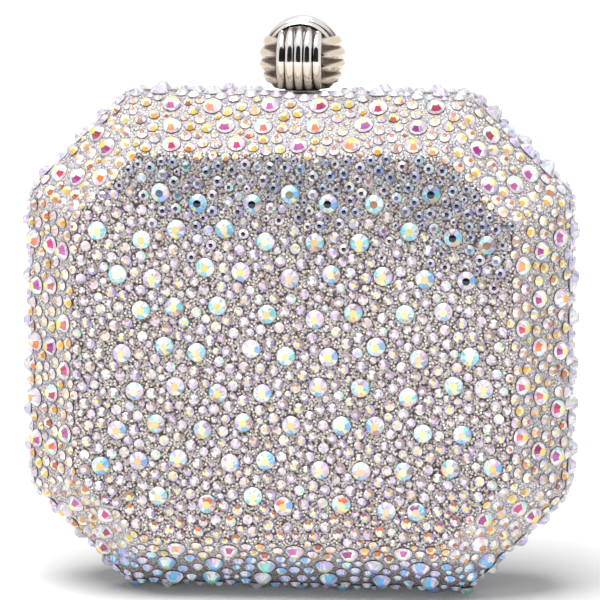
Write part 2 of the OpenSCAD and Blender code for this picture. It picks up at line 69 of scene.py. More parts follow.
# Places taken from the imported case
shell_low, shell_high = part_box("front_shell")
middle = Vector((0, 0, (shell_low.z + shell_high.z) / 2))
panel_depth = -shell_low.y
shell_start = -shell_high.y
collar_low, collar_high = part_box("clasp_collar")
clasp_axis = (collar_low + collar_high) / 2
ball_low, ball_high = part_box("clasp_ball")
ball_radius = (ball_high.x - ball_low.x) / 2
knot_centre = Vector((clasp_axis.x, clasp_axis.y, ball_high.z - ball_radius))
press_travel = next(joint for joint in frame["record"]["behaviour"]["joints"]
                    if joint["name"] == "clasp_press")["range_m"][1]


def srgb(*values):
    """Linear values of colours written as they look, from 0 to 1."""
    c = np.array(values, float)
    return np.where(c <= 0.04045, c / 12.92, ((c + 0.055) / 1.055) ** 2.4)


def linear(r, g, b):
    return (*srgb(r, g, b), 1.0)


# Node helpers

def new_material(name):
    material = bpy.data.materials.new(name)
    material.use_nodes = True
    shader = material.node_tree.nodes["Principled BSDF"]
    return material, material.node_tree, shader


def feed(tree, value, socket):
    """Links a socket to another, or sets it to a constant."""
    if isinstance(value, bpy.types.NodeSocket):
        tree.links.new(value, socket)
    else:
        socket.default_value = value


def object_place(tree, centre=(0, 0, 0)):
    """Object coordinates in metres, measured from centre."""
    place = tree.nodes.new("ShaderNodeTexCoord")
    mapping = tree.nodes.new("ShaderNodeMapping")
    mapping.inputs["Location"].default_value = [-c for c in centre]
    tree.links.new(place.outputs["Object"], mapping.inputs["Vector"])
    return mapping.outputs["Vector"]


def noise_value(tree, scale, detail=3.0):
    noise = tree.nodes.new("ShaderNodeTexNoise")
    noise.inputs["Scale"].default_value = scale
    noise.inputs["Detail"].default_value = detail
    tree.links.new(object_place(tree), noise.inputs["Vector"])
    return noise.outputs["Fac"]


def ramp(tree, value, stops):
    """Colour ramp over value, with stops as (position, colour)."""
    node = tree.nodes.new("ShaderNodeValToRGB")
    elements = node.color_ramp.elements
    while len(elements) < len(stops):
        elements.new(0.5)
    for element, (position, colour) in zip(elements, stops):
        element.position = position
        element.color = colour
    tree.links.new(value, node.inputs["Fac"])
    return node.outputs["Color"]


def ranged(tree, value, low, high, to_low, to_high):
    node = tree.nodes.new("ShaderNodeMapRange")
    for name, number in (("From Min", low), ("From Max", high), ("To Min", to_low), ("To Max", to_high)):
        feed(tree, number, node.inputs[name])
    tree.links.new(value, node.inputs["Value"])
    return node.outputs["Result"]


def mixed(tree, factor, a, b, kind="MIX"):
    """Mix of colour sockets or constant colours a and b."""
    node = tree.nodes.new("ShaderNodeMix")
    node.data_type = "RGBA"
    node.blend_type = kind
    feed(tree, factor, node.inputs["Factor"])
    feed(tree, a, node.inputs[6])
    feed(tree, b, node.inputs[7])
    return node.outputs[2]


def calculated(tree, operation, a, b=None):
    node = tree.nodes.new("ShaderNodeMath")
    node.operation = operation
    feed(tree, a, node.inputs[0])
    if b is not None:
        feed(tree, b, node.inputs[1])
    return node.outputs[0]


def parts_of(tree, vector):
    """X, Y and Z of a vector."""
    node = tree.nodes.new("ShaderNodeSeparateXYZ")
    tree.links.new(vector, node.inputs[0])
    return node.outputs


def bumped(tree, shader, height, strength, distance):
    bump = tree.nodes.new("ShaderNodeBump")
    bump.inputs["Strength"].default_value = strength
    bump.inputs["Distance"].default_value = distance
    tree.links.new(height, bump.inputs["Height"])
    tree.links.new(bump.outputs["Normal"], shader.inputs["Normal"])


# Effects that several materials use

def new_group(name, inputs, outputs):
    """Shader node group with named sockets, each a name, a kind and for an input its value."""
    group = bpy.data.node_groups.new(name, "ShaderNodeTree")
    for label, kind, value in inputs:
        socket = group.interface.new_socket(name=label, in_out="INPUT", socket_type=kind)
        socket.default_value = value
    for label, kind in outputs:
        group.interface.new_socket(name=label, in_out="OUTPUT", socket_type=kind)
    return group, group.nodes.new("NodeGroupInput"), group.nodes.new("NodeGroupOutput")


# Noise values between which the patches change
NOISE_LOW, NOISE_HIGH = 0.32, 0.68


def patches_group():
    """Soft patches: a value between Low and High, and the colour multiplied by it."""
    group, given, made = new_group("patches", [
        ("Color", "NodeSocketColor", (1, 1, 1, 1)),
        ("Scale", "NodeSocketFloat", 100.0),
        ("Low", "NodeSocketFloat", 0.0),
        ("High", "NodeSocketFloat", 1.0),
    ], [("Value", "NodeSocketFloat"), ("Tinted", "NodeSocketColor")])
    noise = group.nodes.new("ShaderNodeTexNoise")
    noise.inputs["Detail"].default_value = 3.0
    group.links.new(given.outputs["Scale"], noise.inputs["Scale"])
    group.links.new(object_place(group), noise.inputs["Vector"])
    value = ranged(group, noise.outputs["Fac"], NOISE_LOW, NOISE_HIGH, given.outputs["Low"],
                   given.outputs["High"])
    group.links.new(value, made.inputs["Value"])
    tinted = mixed(group, 1.0, given.outputs["Color"], value, "MULTIPLY")
    group.links.new(tinted, made.inputs["Tinted"])
    return group


patches = patches_group()


def add_patches(tree, scale, low, high, colour=None):
    """Places the patches group and gives its outputs."""
    node = tree.nodes.new("ShaderNodeGroup")
    node.node_tree = patches
    for name, value in (("Scale", scale), ("Low", low), ("High", high)):
        node.inputs[name].default_value = value
    if colour is not None:
        feed(tree, colour, node.inputs["Color"])
    return node.outputs


# Materials

# Real crystals mirror light more than they scatter it, so they pass on only this share of what they show
CRYSTAL_BOUNCE = 0.4


def crystal_material():
    """Coated crystal: the colour of each facet comes with the mesh, and faint streaks run through it."""
    material, tree, shader = new_material("coated_crystal")
    facet = tree.nodes.new("ShaderNodeAttribute")
    facet.attribute_name = "facet"
    streaked = add_patches(tree, 1100, 0.93, 1.06, facet.outputs["Color"])
    path = tree.nodes.new("ShaderNodeLightPath")
    shown = ranged(tree, path.outputs["Is Diffuse Ray"], 0, 1, 1.0, CRYSTAL_BOUNCE)
    tree.links.new(mixed(tree, 1.0, streaked["Tinted"], shown, "MULTIPLY"), shader.inputs["Base Color"])
    tree.links.new(add_patches(tree, 260, 0.06, 0.2)["Value"], shader.inputs["Roughness"])
    shader.inputs["IOR"].default_value = 1.56
    shader.inputs["Coat Weight"].default_value = 0.5
    shader.inputs["Coat Roughness"].default_value = 0.03
    return material


# Brightness of the setting bed on the flat panels, on the slopes round them and low down, where painted shade
# darkens it
PANEL_BED = 0.70
SLOPE_BED = 0.84
LOW_PAINTED_SHADE = 0.55
# Share of the gaps that pale glue fills on the slopes and on the straight side band
SLOPE_FILL = 0.3
BAND_FILL = 0.9
GLUE = (0.93, 0.91, 0.93)
# The slopes' bed turns to the panel's over a fade that starts this far under the panel, and the band's bed to
# the slopes' over a fade that starts where the band ends
PANEL_EDGE, PANEL_FADE = 0.9 * MM, 0.5 * MM
BAND_END, BAND_FADE = 5 * MM, 2 * MM
# Size of the grains in the bed, how much the dullest one is darkened, and their relief
BED_GRAIN = 0.60 * MM
GRAIN_SHADE = 0.6
BED_RELIEF = 0.2 * MM


def bed_material():
    """Bed of glue strewn with crystal grains, with dark gaps between them, brighter on the slopes and darkened
    with painted shade low under the case.
    """
    material, tree, shader = new_material("setting_bed")
    grains = tree.nodes.new("ShaderNodeTexVoronoi")
    grains.inputs["Scale"].default_value = 1 / BED_GRAIN
    tree.links.new(object_place(tree), grains.inputs["Vector"])
    colour = ramp(tree, grains.outputs["Distance"], [
        (0.34, linear(0.98, 0.95, 0.93)),
        (0.48, linear(0.82, 0.78, 0.78)),
        (0.60, linear(0.56, 0.50, 0.50)),
        (0.78, linear(0.34, 0.28, 0.27)),
    ])
    shade = ranged(tree, parts_of(tree, grains.outputs["Color"])["X"], 0, 1, GRAIN_SHADE, 1.0)
    colour = mixed(tree, 1.0, colour, shade, "MULTIPLY")
    axes = parts_of(tree, object_place(tree))
    depth = calculated(tree, "ABSOLUTE", axes["Y"])
    edge = panel_depth - PANEL_EDGE
    slope_filled = ranged(tree, depth, edge, edge + PANEL_FADE, SLOPE_FILL, 0.0)
    band_filled = ranged(tree, depth, BAND_END, BAND_END + BAND_FADE, BAND_FILL, 0.0)
    filled = calculated(tree, "MAXIMUM", slope_filled, band_filled)
    colour = mixed(tree, filled, colour, linear(*GLUE))
    level = ranged(tree, depth, edge, edge + PANEL_FADE, SLOPE_BED, PANEL_BED)
    painted_low_shade = ranged(tree, axes["Z"], UNDER_LOW, UNDER_HIGH, LOW_PAINTED_SHADE, 1.0)
    level = calculated(tree, "MULTIPLY", level, painted_low_shade)
    tree.links.new(mixed(tree, 1.0, colour, level, "MULTIPLY"), shader.inputs["Base Color"])
    shader.inputs["Roughness"].default_value = 0.42
    height = calculated(tree, "SUBTRACT", 1.0, grains.outputs["Distance"])
    bumped(tree, shader, height, 0.5, BED_RELIEF)
    return material


def plated_material(name, tint, roughness, scuff):
    """Silver plate with fine scratches and dull patches."""
    material, tree, shader = new_material(name)
    tree.links.new(add_patches(tree, 130, 0.88, 1.0, linear(*tint))["Tinted"], shader.inputs["Base Color"])
    dull = add_patches(tree, 170, roughness, roughness + scuff)
    tree.links.new(dull["Value"], shader.inputs["Roughness"])
    shader.inputs["Metallic"].default_value = 1.0
    bumped(tree, shader, noise_value(tree, 1800, 2.0), 0.05, 0.05 * MM)
    return material


crystal_finish = crystal_material()
bed_finish = bed_material()
frame_finish = plated_material("frame_plate", (0.90, 0.89, 0.88), 0.12, 0.12)
spring_finish = plated_material("spring_wire", (0.66, 0.66, 0.68), 0.25, 0.15)


# Pieces

def add_object(name, data):
    """A new object in the scene."""
    made = bpy.data.objects.new(name, data)
    bpy.context.scene.collection.objects.link(made)
    return made


def add_piece(name, mesh, material, body, replaced=()):
    """A piece that rides on a body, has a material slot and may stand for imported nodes."""
    piece = add_object(name, mesh)
    mesh.materials.append(material)
    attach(piece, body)
    if replaced:
        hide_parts(*replaced)
    return piece


def mesh_from(bm, name, smooth=False):
    mesh = bpy.data.meshes.new(name)
    bm.to_mesh(mesh)
    bm.free()
    if smooth:
        mesh.polygons.foreach_set("use_smooth", [True] * len(mesh.polygons))
    return mesh


# Crystal cuts: each facet knows its part of the stone and its direction from the stone's axis

GIRDLE, EDGE, RIM, CROWN, TABLE = range(5)


def from_lowest(numbers):
    """The same round of numbers, begun at its lowest, so that it doesn't depend on where it was begun."""
    start = numbers.index(min(numbers))
    return numbers[start:] + numbers[:start]


class Cut:
    """A flat-backed cut made once and repeated for every crystal of its kind."""

    def __init__(self, sides, radius, height, steps):
        """steps are (height share, radius share, part) from the back up."""
        bm = bmesh.new()
        part = bm.faces.layers.int.new("part")
        turn = bm.faces.layers.float.new("turn")
        bmesh.ops.create_circle(bm, cap_ends=True, segments=sides, radius=radius)
        top = bm.faces[:][0]
        if top.normal.z < 0:
            top.normal_flip()
        share = 1.0
        for number, (height_share, radius_share, kind) in enumerate(steps):
            made = bmesh.ops.extrude_face_region(bm, geom=[top], use_keep_orig=number == 0)
            top = [g for g in made["geom"] if isinstance(g, bmesh.types.BMFace)][0]
            rise = height * height_share - top.verts[0].co.z
            bmesh.ops.translate(bm, vec=(0, 0, rise), verts=top.verts)
            bmesh.ops.scale(bm, vec=(radius_share / share, radius_share / share, 1), verts=top.verts)
            for edge in top.edges:
                for face in edge.link_faces:
                    face[part] = kind
            share = radius_share
        top[part] = TABLE
        bmesh.ops.recalc_face_normals(bm, faces=bm.faces)
        for face in bm.faces:
            centre = face.calc_center_median()
            face[turn] = math.atan2(centre.x, centre.y) % math.tau
        bmesh.ops.triangulate(bm, faces=bm.faces)
        self.places = np.array([v.co for v in bm.verts])
        rows = sorted((f[part], from_lowest([v.index for v in f.verts]), f[turn]) for f in bm.faces)
        self.part, self.faces, self.angle = (np.array(column) for column in zip(*rows))
        self.sides = sides
        self.radius = radius
        bm.free()


def size_of(crystals):
    """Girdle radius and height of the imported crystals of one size, from one that stands square to an axis."""
    low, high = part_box(crystals)
    return (high.y - low.y) / 2, high.z - low.z


large_radius, large_height = size_of("front_base_crystals")
medium_radius, medium_height = 1.5 * MM, 1.1 * MM
chip_radius, chip_height = 0.38 * MM, 0.14 * MM

large_cut = Cut(12, large_radius, large_height, [
    (0.08, 1.0, GIRDLE),
    (0.13, 0.965, EDGE),
    (0.42, 0.82, RIM),
    (1.0, 0.40, CROWN),
])
medium_cut = Cut(8, medium_radius, medium_height, [
    (0.10, 1.0, GIRDLE),
    (0.20, 0.93, EDGE),
    (1.0, 0.40, CROWN),
])
chip_cut = Cut(5, chip_radius, chip_height, [(1.0, 0.68, CROWN)])


# Colours of the coating, written as they look

WHITE, PEARL, SMOKE = (0.97, 0.97, 0.97), (0.86, 0.84, 0.89), (0.64, 0.58, 0.60)
ICE, AQUA, SKY, MINT = (0.80, 0.95, 0.96), (0.56, 0.86, 0.91), (0.52, 0.73, 0.95), (0.72, 0.92, 0.82)
LILAC, VIOLET, PINK, ROSE = (0.80, 0.74, 0.92), (0.66, 0.57, 0.80), (0.93, 0.81, 0.87), (0.72, 0.60, 0.60)
CREAM, LEMON, PEACH = (0.97, 0.92, 0.78), (0.97, 0.93, 0.58), (0.96, 0.78, 0.64)

# Crowns: the colour towards the head, then seven more directions, clockwise
PANEL_LARGE = [(WHITE, ICE, AQUA, SKY, LEMON, SKY, AQUA, WHITE),
               (WHITE, PINK, LILAC, SKY, LEMON, PEARL, ICE, ICE),
               (ICE, WHITE, ICE, AQUA, CREAM, AQUA, ICE, WHITE),
               (LILAC, PINK, PEARL, SKY, CREAM, PEARL, LILAC, WHITE),
               (PEARL, WHITE, AQUA, ROSE, PEACH, SKY, ICE, LILAC),
               (PEARL, SMOKE, LILAC, AQUA, LEMON, PEACH, AQUA, ICE)]
PANEL_MEDIUM = [(PEARL, PINK, LILAC, SMOKE, PEARL, VIOLET, LILAC, WHITE),
                (SMOKE, ROSE, LILAC, PEARL, CREAM, SMOKE, PINK, WHITE),
                (ROSE, PEARL, SMOKE, VIOLET, WHITE, LILAC, SMOKE, PEARL),
                (SMOKE, PEARL, ROSE, LILAC, PEARL, PEARL, SMOKE, PINK),
                (ROSE, WHITE, LILAC, VIOLET, PEARL, SMOKE, PEARL, CREAM),
                (PEARL, SMOKE, MINT, PEARL, CREAM, LILAC, SMOKE, WHITE)]
SLOPE_LARGE = [(PINK, WHITE, ICE, WHITE, CREAM, WHITE, PEARL, WHITE),
               (PEARL, WHITE, WHITE, PEARL, LEMON, ICE, WHITE, PINK),
               (PEARL, PINK, WHITE, ICE, LEMON, WHITE, LILAC, WHITE)]
SLOPE_MEDIUM = [(CREAM, WHITE, PEARL, PEARL, LEMON, WHITE, PEARL, PINK),
                (PEACH, WHITE, PEARL, LILAC, CREAM, WHITE, PEARL, CREAM),
                (PEARL, CREAM, WHITE, ICE, LEMON, PEARL, WHITE, PEARL),
                (ROSE, PEARL, CREAM, WHITE, CREAM, PINK, PEARL, WHITE)]
# Pale crowns on the straight side band, and cooler ones low on the slope under the panel
BAND = [(LILAC, WHITE, ICE, PEARL, WHITE, LILAC, WHITE, PEARL),
        (WHITE, PEARL, LILAC, WHITE, ICE, WHITE, PEARL, LILAC)]
UNDER = [(SKY, LILAC, WHITE, AQUA, SKY, ICE, LILAC, PEARL),
         (ICE, SKY, SKY, LILAC, PEARL, SKY, AQUA, WHITE),
         (LILAC, PEARL, ICE, PEARL, MINT, PEARL, SKY, LILAC)]

# Tables, and the wedges that some crowns have towards the head
GLEAMS = [(0.98, 0.86, 0.56), (0.98, 0.90, 0.66), (0.98, 0.82, 0.54), (0.97, 0.94, 0.78),
          (0.97, 0.84, 0.66)]
PALE_TABLES = [(0.97, 0.92, 0.66), (0.97, 0.95, 0.84), (0.93, 0.80, 0.62), (0.97, 0.90, 0.92),
               (0.86, 0.78, 0.86), (0.96, 0.88, 0.56), (0.98, 0.97, 0.97)]
LEMON_TABLES = [(0.96, 0.90, 0.56), (0.96, 0.94, 0.70), (0.97, 0.86, 0.44), (0.92, 0.94, 0.72),
                (0.97, 0.95, 0.84)]
HEARTS = [(0.86, 0.64, 0.30), (0.80, 0.48, 0.28), (0.92, 0.76, 0.36), (0.72, 0.40, 0.32),
          (0.88, 0.80, 0.46), (0.88, 0.68, 0.48), (0.92, 0.68, 0.32), (0.80, 0.56, 0.40)]
WEDGES = [(0.64, 0.26, 0.54), (0.78, 0.30, 0.52), (0.84, 0.32, 0.38), (0.92, 0.52, 0.36),
          (0.68, 0.30, 0.42), (0.58, 0.28, 0.38), (0.78, 0.42, 0.68), (0.90, 0.64, 0.46),
          (0.82, 0.48, 0.46), (0.70, 0.38, 0.62)]
FOOT_WEDGES = [(0.70, 0.36, 0.42), (0.74, 0.46, 0.38), (0.64, 0.38, 0.56), (0.84, 0.48, 0.34),
               (0.62, 0.42, 0.46)]
TEALS = [(0.56, 0.86, 0.76), (0.46, 0.70, 0.92), (0.60, 0.60, 0.88), (0.72, 0.84, 0.62), (0.42, 0.74, 0.90)]
# Tables of the crystals near the top of the panel that carry a painted dark reflection, and of those only half
# in that painted shade
PAINTED_DARK_TABLES = [(0.07, 0.10, 0.13), (0.09, 0.11, 0.20), (0.16, 0.18, 0.20), (0.06, 0.07, 0.15)]
PAINTED_HALF_SHADE_TABLES = [(0.66, 0.48, 0.36), (0.60, 0.54, 0.46), (0.40, 0.55, 0.60), (0.56, 0.38, 0.36),
               (0.32, 0.42, 0.52)]
# Tint of the painted shade near the top of the panel
PAINTED_SHADE_TINT = (0.66, 0.77, 0.83)
# Outlines, partly the dark foil edge and partly painted shade in the gap round each crystal: the colour towards
# the head, and the one elsewhere
DARK_RIM, SOFT_RIM, PALE_RIM = (0.36, 0.22, 0.19), (0.50, 0.45, 0.48), (0.82, 0.79, 0.86)
DARK_OUTLINE = (DARK_RIM, SOFT_RIM)
SOFT_OUTLINE = (SOFT_RIM, SOFT_RIM)
PALE_OUTLINE = (PALE_RIM, PALE_RIM)
# Painted glints and painted shades that single facets take on, with the share of facets that have each, and
# their strength
GLINTS = [(WHITE, 0.16), (SMOKE, 0.10), (LILAC, 0.06)]
GLINT_DEPTH = 0.6
# Fine crystals in the gaps, with the share of each colour on the panels and on the slopes
CHIP_COLOURS = [(0.98, 0.97, 0.95), (0.93, 0.89, 0.85), (0.84, 0.79, 0.77), (0.70, 0.64, 0.63),
                (0.46, 0.39, 0.38), (0.98, 0.92, 0.78), (0.84, 0.86, 0.95), (0.92, 0.80, 0.88)]
CHIP_SHARES_PANEL = [0.26, 0.28, 0.16, 0.07, 0.03, 0.12, 0.04, 0.04]
CHIP_SHARES_SLOPE = [0.60, 0.08, 0.0, 0.0, 0.0, 0.06, 0.16, 0.10]


class Look:
    """Colours of the crystals of one size and zone. A share of them has a wedge towards the head, and a table
    from wedge_tables."""

    def __init__(self, crowns, tables, outline, wedges=WEDGES, share=0.0, wedge_tables=GLEAMS):
        self.crowns, self.tables = crowns, tables
        self.head_outline, self.outline = outline
        self.wedges, self.share, self.wedge_tables = wedges, share, wedge_tables


LARGE_LOOKS = {
    "panel": Look(PANEL_LARGE, GLEAMS, SOFT_OUTLINE),
    "foot": Look(PANEL_LARGE, GLEAMS, SOFT_OUTLINE, FOOT_WEDGES, 0.7, GLEAMS),
    "slope": Look(SLOPE_LARGE, HEARTS, DARK_OUTLINE, WEDGES, 0.92, LEMON_TABLES),
    "band": Look(BAND, PALE_TABLES, PALE_OUTLINE),
    "under": Look(UNDER, TEALS, DARK_OUTLINE, TEALS, 0.6, TEALS),
}
MEDIUM_LOOKS = {
    "panel": Look(PANEL_MEDIUM, PALE_TABLES, SOFT_OUTLINE),
    "foot": Look(PANEL_MEDIUM, PALE_TABLES, SOFT_OUTLINE, FOOT_WEDGES, 0.6, LEMON_TABLES),
    "slope": Look(SLOPE_MEDIUM, HEARTS, DARK_OUTLINE, HEARTS, 0.45, LEMON_TABLES),
    "band": Look(BAND, PALE_TABLES, PALE_OUTLINE),
    "under": Look(UNDER, TEALS, DARK_OUTLINE),
}


def blended(colours, other, depth):
    return colours * (1 - depth) + np.array(other) * depth


# How much a colour varies from one crystal to the next
COLOUR_SPREAD = 0.03


def picked(colours, count, rng):
    """One colour of a list for each of count crystals, varied a little."""
    chosen = np.array(colours)[rng.integers(0, len(colours), count)]
    varied = chosen + rng.uniform(-COLOUR_SPREAD, COLOUR_SPREAD, chosen.shape)
    return np.clip(varied, 0, 1)[:, None, :]


def smoothstep(low, high, x):
    t = np.clip((x - low) / (high - low), 0, 1)
    return t * t * (3 - 2 * t)


# The painted shade on the panel, a dark reflection painted into the crystals, starts at a foot, as a share of
# the way from the middle of the case to its top, which sinks over a stretch to the right and rises over one to
# the left, and is at its most a fade higher. A wave makes its edge uneven.
DUSK_FOOT, DUSK_FADE, DUSK_MOST = 0.32, 0.42, 0.85
DUSK_SINK, DUSK_RISE = 0.12, 0.14
DUSK_RIGHT, DUSK_LEFT = (0.1, 0.6), (0.2, 0.7)
DUSK_WAVE, DUSK_WAVE_LENGTH = 0.05, 37.7 * MM


def painted_shade_at(places):
    """How likely a crystal on the panel is to take on the painted shade: more so towards the panel's top and
    right.
    """
    height = (places[:, 2] - middle.z) / (shell_high.z - middle.z)
    height = height + DUSK_WAVE * np.sin(math.tau * places[:, 0] / DUSK_WAVE_LENGTH)
    right = places[:, 0] / shell_high.x
    foot = DUSK_FOOT - DUSK_SINK * smoothstep(*DUSK_RIGHT, right) + DUSK_RISE * smoothstep(*DUSK_LEFT, -right)
    return DUSK_MOST * smoothstep(foot, foot + DUSK_FADE, height)


def off_direction(angle, at):
    """How far angles are from a direction, either way round."""
    return np.abs((angle - at + math.pi) % math.tau - math.pi)


# Half the spread of a wedge, how many radians it may lean to a side, and how much of the outline's colour, with
# its painted shade, the rim takes on
WEDGE_REACH = math.radians(36)
WEDGE_LEAN = 0.3
RIM_SHADE = 0.08


def painted(cut, look, count, rng):
    """Facet colours of count crystals of one look."""
    facets = len(cut.part)
    crowns = np.array(look.crowns)
    directions = crowns.shape[1]
    sector = np.round(cut.angle / math.tau * directions).astype(int)
    turned = (sector[None] + rng.integers(-1, 2, count)[:, None]) % directions
    colours = crowns[rng.integers(0, len(crowns), count)[:, None], turned]
    # Painted glints and shades on single facets
    dice = rng.random((count, facets))
    start = 0.0
    for colour, share in GLINTS:
        hit = (dice >= start) & (dice < start + share)
        colours = blended(colours, colour, (hit * GLINT_DEPTH)[..., None])
        start += share
    # Outline of dark foil edge and painted shade, darkest towards the head
    towards_head = (0.5 + 0.5 * np.cos(cut.angle))[:, None]
    outline = blended(np.array(look.outline), look.head_outline, towards_head)
    colours = np.where((cut.part == RIM)[:, None], blended(colours, outline[None], RIM_SHADE), colours)

    wedged = (rng.random(count) < look.share)[:, None]
    lean = rng.uniform(-WEDGE_LEAN, WEDGE_LEAN, count)[:, None]
    inside = wedged & (off_direction(cut.angle[None], lean) < WEDGE_REACH) & (cut.part == CROWN)
    colours = np.where(inside[..., None], picked(look.wedges, count, rng), colours)
    under_wedge = picked(look.wedge_tables, count, rng)
    table = np.where(wedged[..., None], under_wedge, picked(look.tables, count, rng))
    colours = np.where((cut.part == TABLE)[None, :, None], table, colours)
    return np.where(np.isin(cut.part, (GIRDLE, EDGE))[None, :, None], outline[None], colours)


# Crystals with painted shade for each one with a painted dark table, where the others have half-shaded tables,
# and the least and most of the painted shade's tint that they take on
PAINTED_SHADE_REACH = 1.5
DUSK_TINT_SPREAD = (0.2, 1.2)
# Brightness from stone to stone, and from facet to facet
STONE_SPREAD = (0.94, 1.03)
FACET_SPREAD = (0.93, 1.05)


def facet_colours(cut, seats, rng, looks):
    """Colours of all facets of all crystals: by zone, by direction, by place (with painted shade near the top
    of the panel) and by chance.
    """
    count, facets = len(seats), len(cut.part)
    colours = np.empty((count, facets, 3))
    for zone, look in looks.items():
        chosen = seats.zone == zone
        colours[chosen] = painted(cut, look, chosen.sum(), rng)
    # Painted shade: dark reflections painted on tables, and a tint on crowns, near the top of the panel
    dusk = painted_shade_at(seats.places) * (seats.zone == "panel")
    chance = rng.random(count)
    table = (cut.part == TABLE)[None, :, None]
    for tables, shaded in ((PAINTED_HALF_SHADE_TABLES, chance < PAINTED_SHADE_REACH * dusk), (PAINTED_DARK_TABLES, chance < dusk)):
        colours = np.where(table & shaded[:, None, None], picked(tables, count, rng), colours)
    tint = (dusk * rng.uniform(*DUSK_TINT_SPREAD, count))[:, None, None]
    colours = blended(colours, colours * np.array(PAINTED_SHADE_TINT), tint)
    stone = rng.uniform(*STONE_SPREAD, (count, 1, 1))
    facet = np.where(table, 1.0, rng.uniform(*FACET_SPREAD, (count, facets, 1)))
    return colours * stone * facet


# Seats of the crystals

# A seat is on the panel where its normal points forwards or backwards by more than this, and on the side band
# where it does so by less than this. Under the case its normal points down.
PANEL_TILT = 0.93
BAND_TILT = 0.35
UNDER_TILT = -0.25
# Under this height the crystals of the flat panel have wedges
PANEL_FOOT = 26 * MM


class Seats:
    """Places, outward normals, heads and girdle radii of a set of crystals, and the zone each one lies in.
    The head of a crystal on the flat panel points up, and elsewhere towards the panel."""

    def __init__(self, places, normals, radii):
        self.places = np.array(places, float).reshape(-1, 3)
        self.normals = np.array(normals, float).reshape(-1, 3)
        self.normals /= np.linalg.norm(self.normals, axis=1)[:, None]
        self.radii = np.broadcast_to(radii, len(self.places))
        facing = np.abs(self.normals[:, 1])
        down = self.normals[:, 2] < UNDER_TILT
        height = self.places[:, 2]
        flat = facing > PANEL_TILT
        self.zone = np.where(facing < BAND_TILT, "band", "slope")
        self.zone = np.where(flat, np.where(height > PANEL_FOOT, "panel", "foot"), self.zone)
        self.zone = np.where(down & (height < UNDER_ZONE), "under", self.zone)
        # How much painted shade a crystal low under the case takes on
        self.under = down * (1 - smoothstep(UNDER_LOW, UNDER_HIGH, height))
        towards = np.zeros_like(self.normals)
        towards[flat, 2] = 1
        towards[~flat, 1] = np.sign(self.places[~flat, 1])
        head = towards - self.normals * (towards * self.normals).sum(1)[:, None]
        self.heads = head / np.linalg.norm(head, axis=1)[:, None]
        self.rights = np.cross(self.heads, self.normals)

    def __len__(self):
        return len(self.places)


# How much smaller a crystal may be than its seat
SIZE_SPREAD = 0.03


def cut_copies(name, cut, seats, colours, rng):
    """One mesh of a cut repeated at every seat, with a colour for every facet."""
    count = len(seats)
    turn = rng.uniform(-1, 1, count) * math.pi / cut.sides
    size = seats.radii / cut.radius * (1 - rng.uniform(0, 1, count) * SIZE_SPREAD)
    x, y, z = cut.places.T
    across = (x * np.cos(turn)[:, None] + y * np.sin(turn)[:, None]) * size[:, None]
    along = (y * np.cos(turn)[:, None] - x * np.sin(turn)[:, None]) * size[:, None]
    up = z * size[:, None]
    places = (seats.places[:, None, :]
              + across[..., None] * seats.rights[:, None, :]
              + along[..., None] * seats.heads[:, None, :]
              + up[..., None] * seats.normals[:, None, :]).reshape(-1, 3)
    faces = (cut.faces[None] + (np.arange(count) * len(cut.places))[:, None, None]).reshape(-1, 3)
    mesh = bpy.data.meshes.new(name)
    mesh.vertices.add(len(places))
    mesh.vertices.foreach_set("co", places.ravel())
    mesh.loops.add(faces.size)
    mesh.loops.foreach_set("vertex_index", faces.ravel())
    mesh.polygons.add(len(faces))
    mesh.polygons.foreach_set("loop_start", np.arange(0, faces.size, 3))
    mesh.polygons.foreach_set("loop_total", np.full(len(faces), 3))
    mesh.update(calc_edges=True)
    mesh.attributes.new("facet", "FLOAT_COLOR", "CORNER")
    shades = srgb(*np.clip(colours, 0, 1).reshape(-1, 3).T).T
    shades = np.repeat(np.c_[shades, np.ones(len(shades))], 3, axis=0)
    mesh.attributes["facet"].data.foreach_set("color", shades.ravel())
    add_facet_cells(mesh)
    return mesh


# Corners of a facet's triangle in its square of the picture
FACET_CELL = [(0.2, 0.2), (0.8, 0.2), (0.5, 0.8)]


def add_facet_cells(mesh):
    """UV map for baking, with a triangle inside a small square of the picture for every facet."""
    count = len(mesh.polygons)
    columns = math.ceil(math.sqrt(count))
    number = np.arange(count)
    square = np.stack([number % columns, number // columns], 1)
    uv = (square[:, None, :] + np.array(FACET_CELL)[None]) / columns
    mesh.uv_layers.new(name="OFBake").uv.foreach_set("vector", uv.astype(np.float32).ravel())


def joined_to(verts):
    """These vertices and all that edges join them to, in a fixed order."""
    found, waiting = dict.fromkeys(verts), list(verts)
    while waiting:
        v = waiting.pop()
        for e in v.link_edges:
            other = e.other_vert(v)
            if other not in found:
                found[other] = None
                waiting.append(other)
    return list(found)


def islands(bm):
    """Vertex places of each loose part."""
    seen = set()
    for start in bm.verts:
        if start not in seen:
            part = joined_to([start])
            seen.update(part)
            yield np.array([v.co[:] for v in part])


def packed_seats(*nodes):
    """Seats read from packed crystals: the middle of each one's back, its axis, which points outwards, and
    its girdle radius."""
    places, axes, radii = [], [], []
    for node in nodes:
        bm = bmesh.new()
        bm.from_mesh(frame["nodes"][node].data)
        bmesh.ops.remove_doubles(bm, verts=bm.verts, dist=MERGE)
        for part in islands(bm):
            centre = (part.min(0) + part.max(0)) / 2
            away = part - centre
            axis = np.linalg.eigh(away.T @ away)[1][:, 0]
            if axis @ (centre - np.array(middle)) < 0:
                axis = -axis
            centre = part.mean(0)
            away = part - centre
            height = away @ axis
            places.append(centre + axis * height.min())
            axes.append(axis)
            radii.append(np.linalg.norm(away - height[:, None] * axis, axis=1).max())
        bm.free()
    return Seats(places, axes, radii)


# An outer face is at least this far from the middle of the case, along its normal. Triangles with less than
# this area in square metres are left out.
OUTSIDE = 4 * MM
SPECK = 1e-12


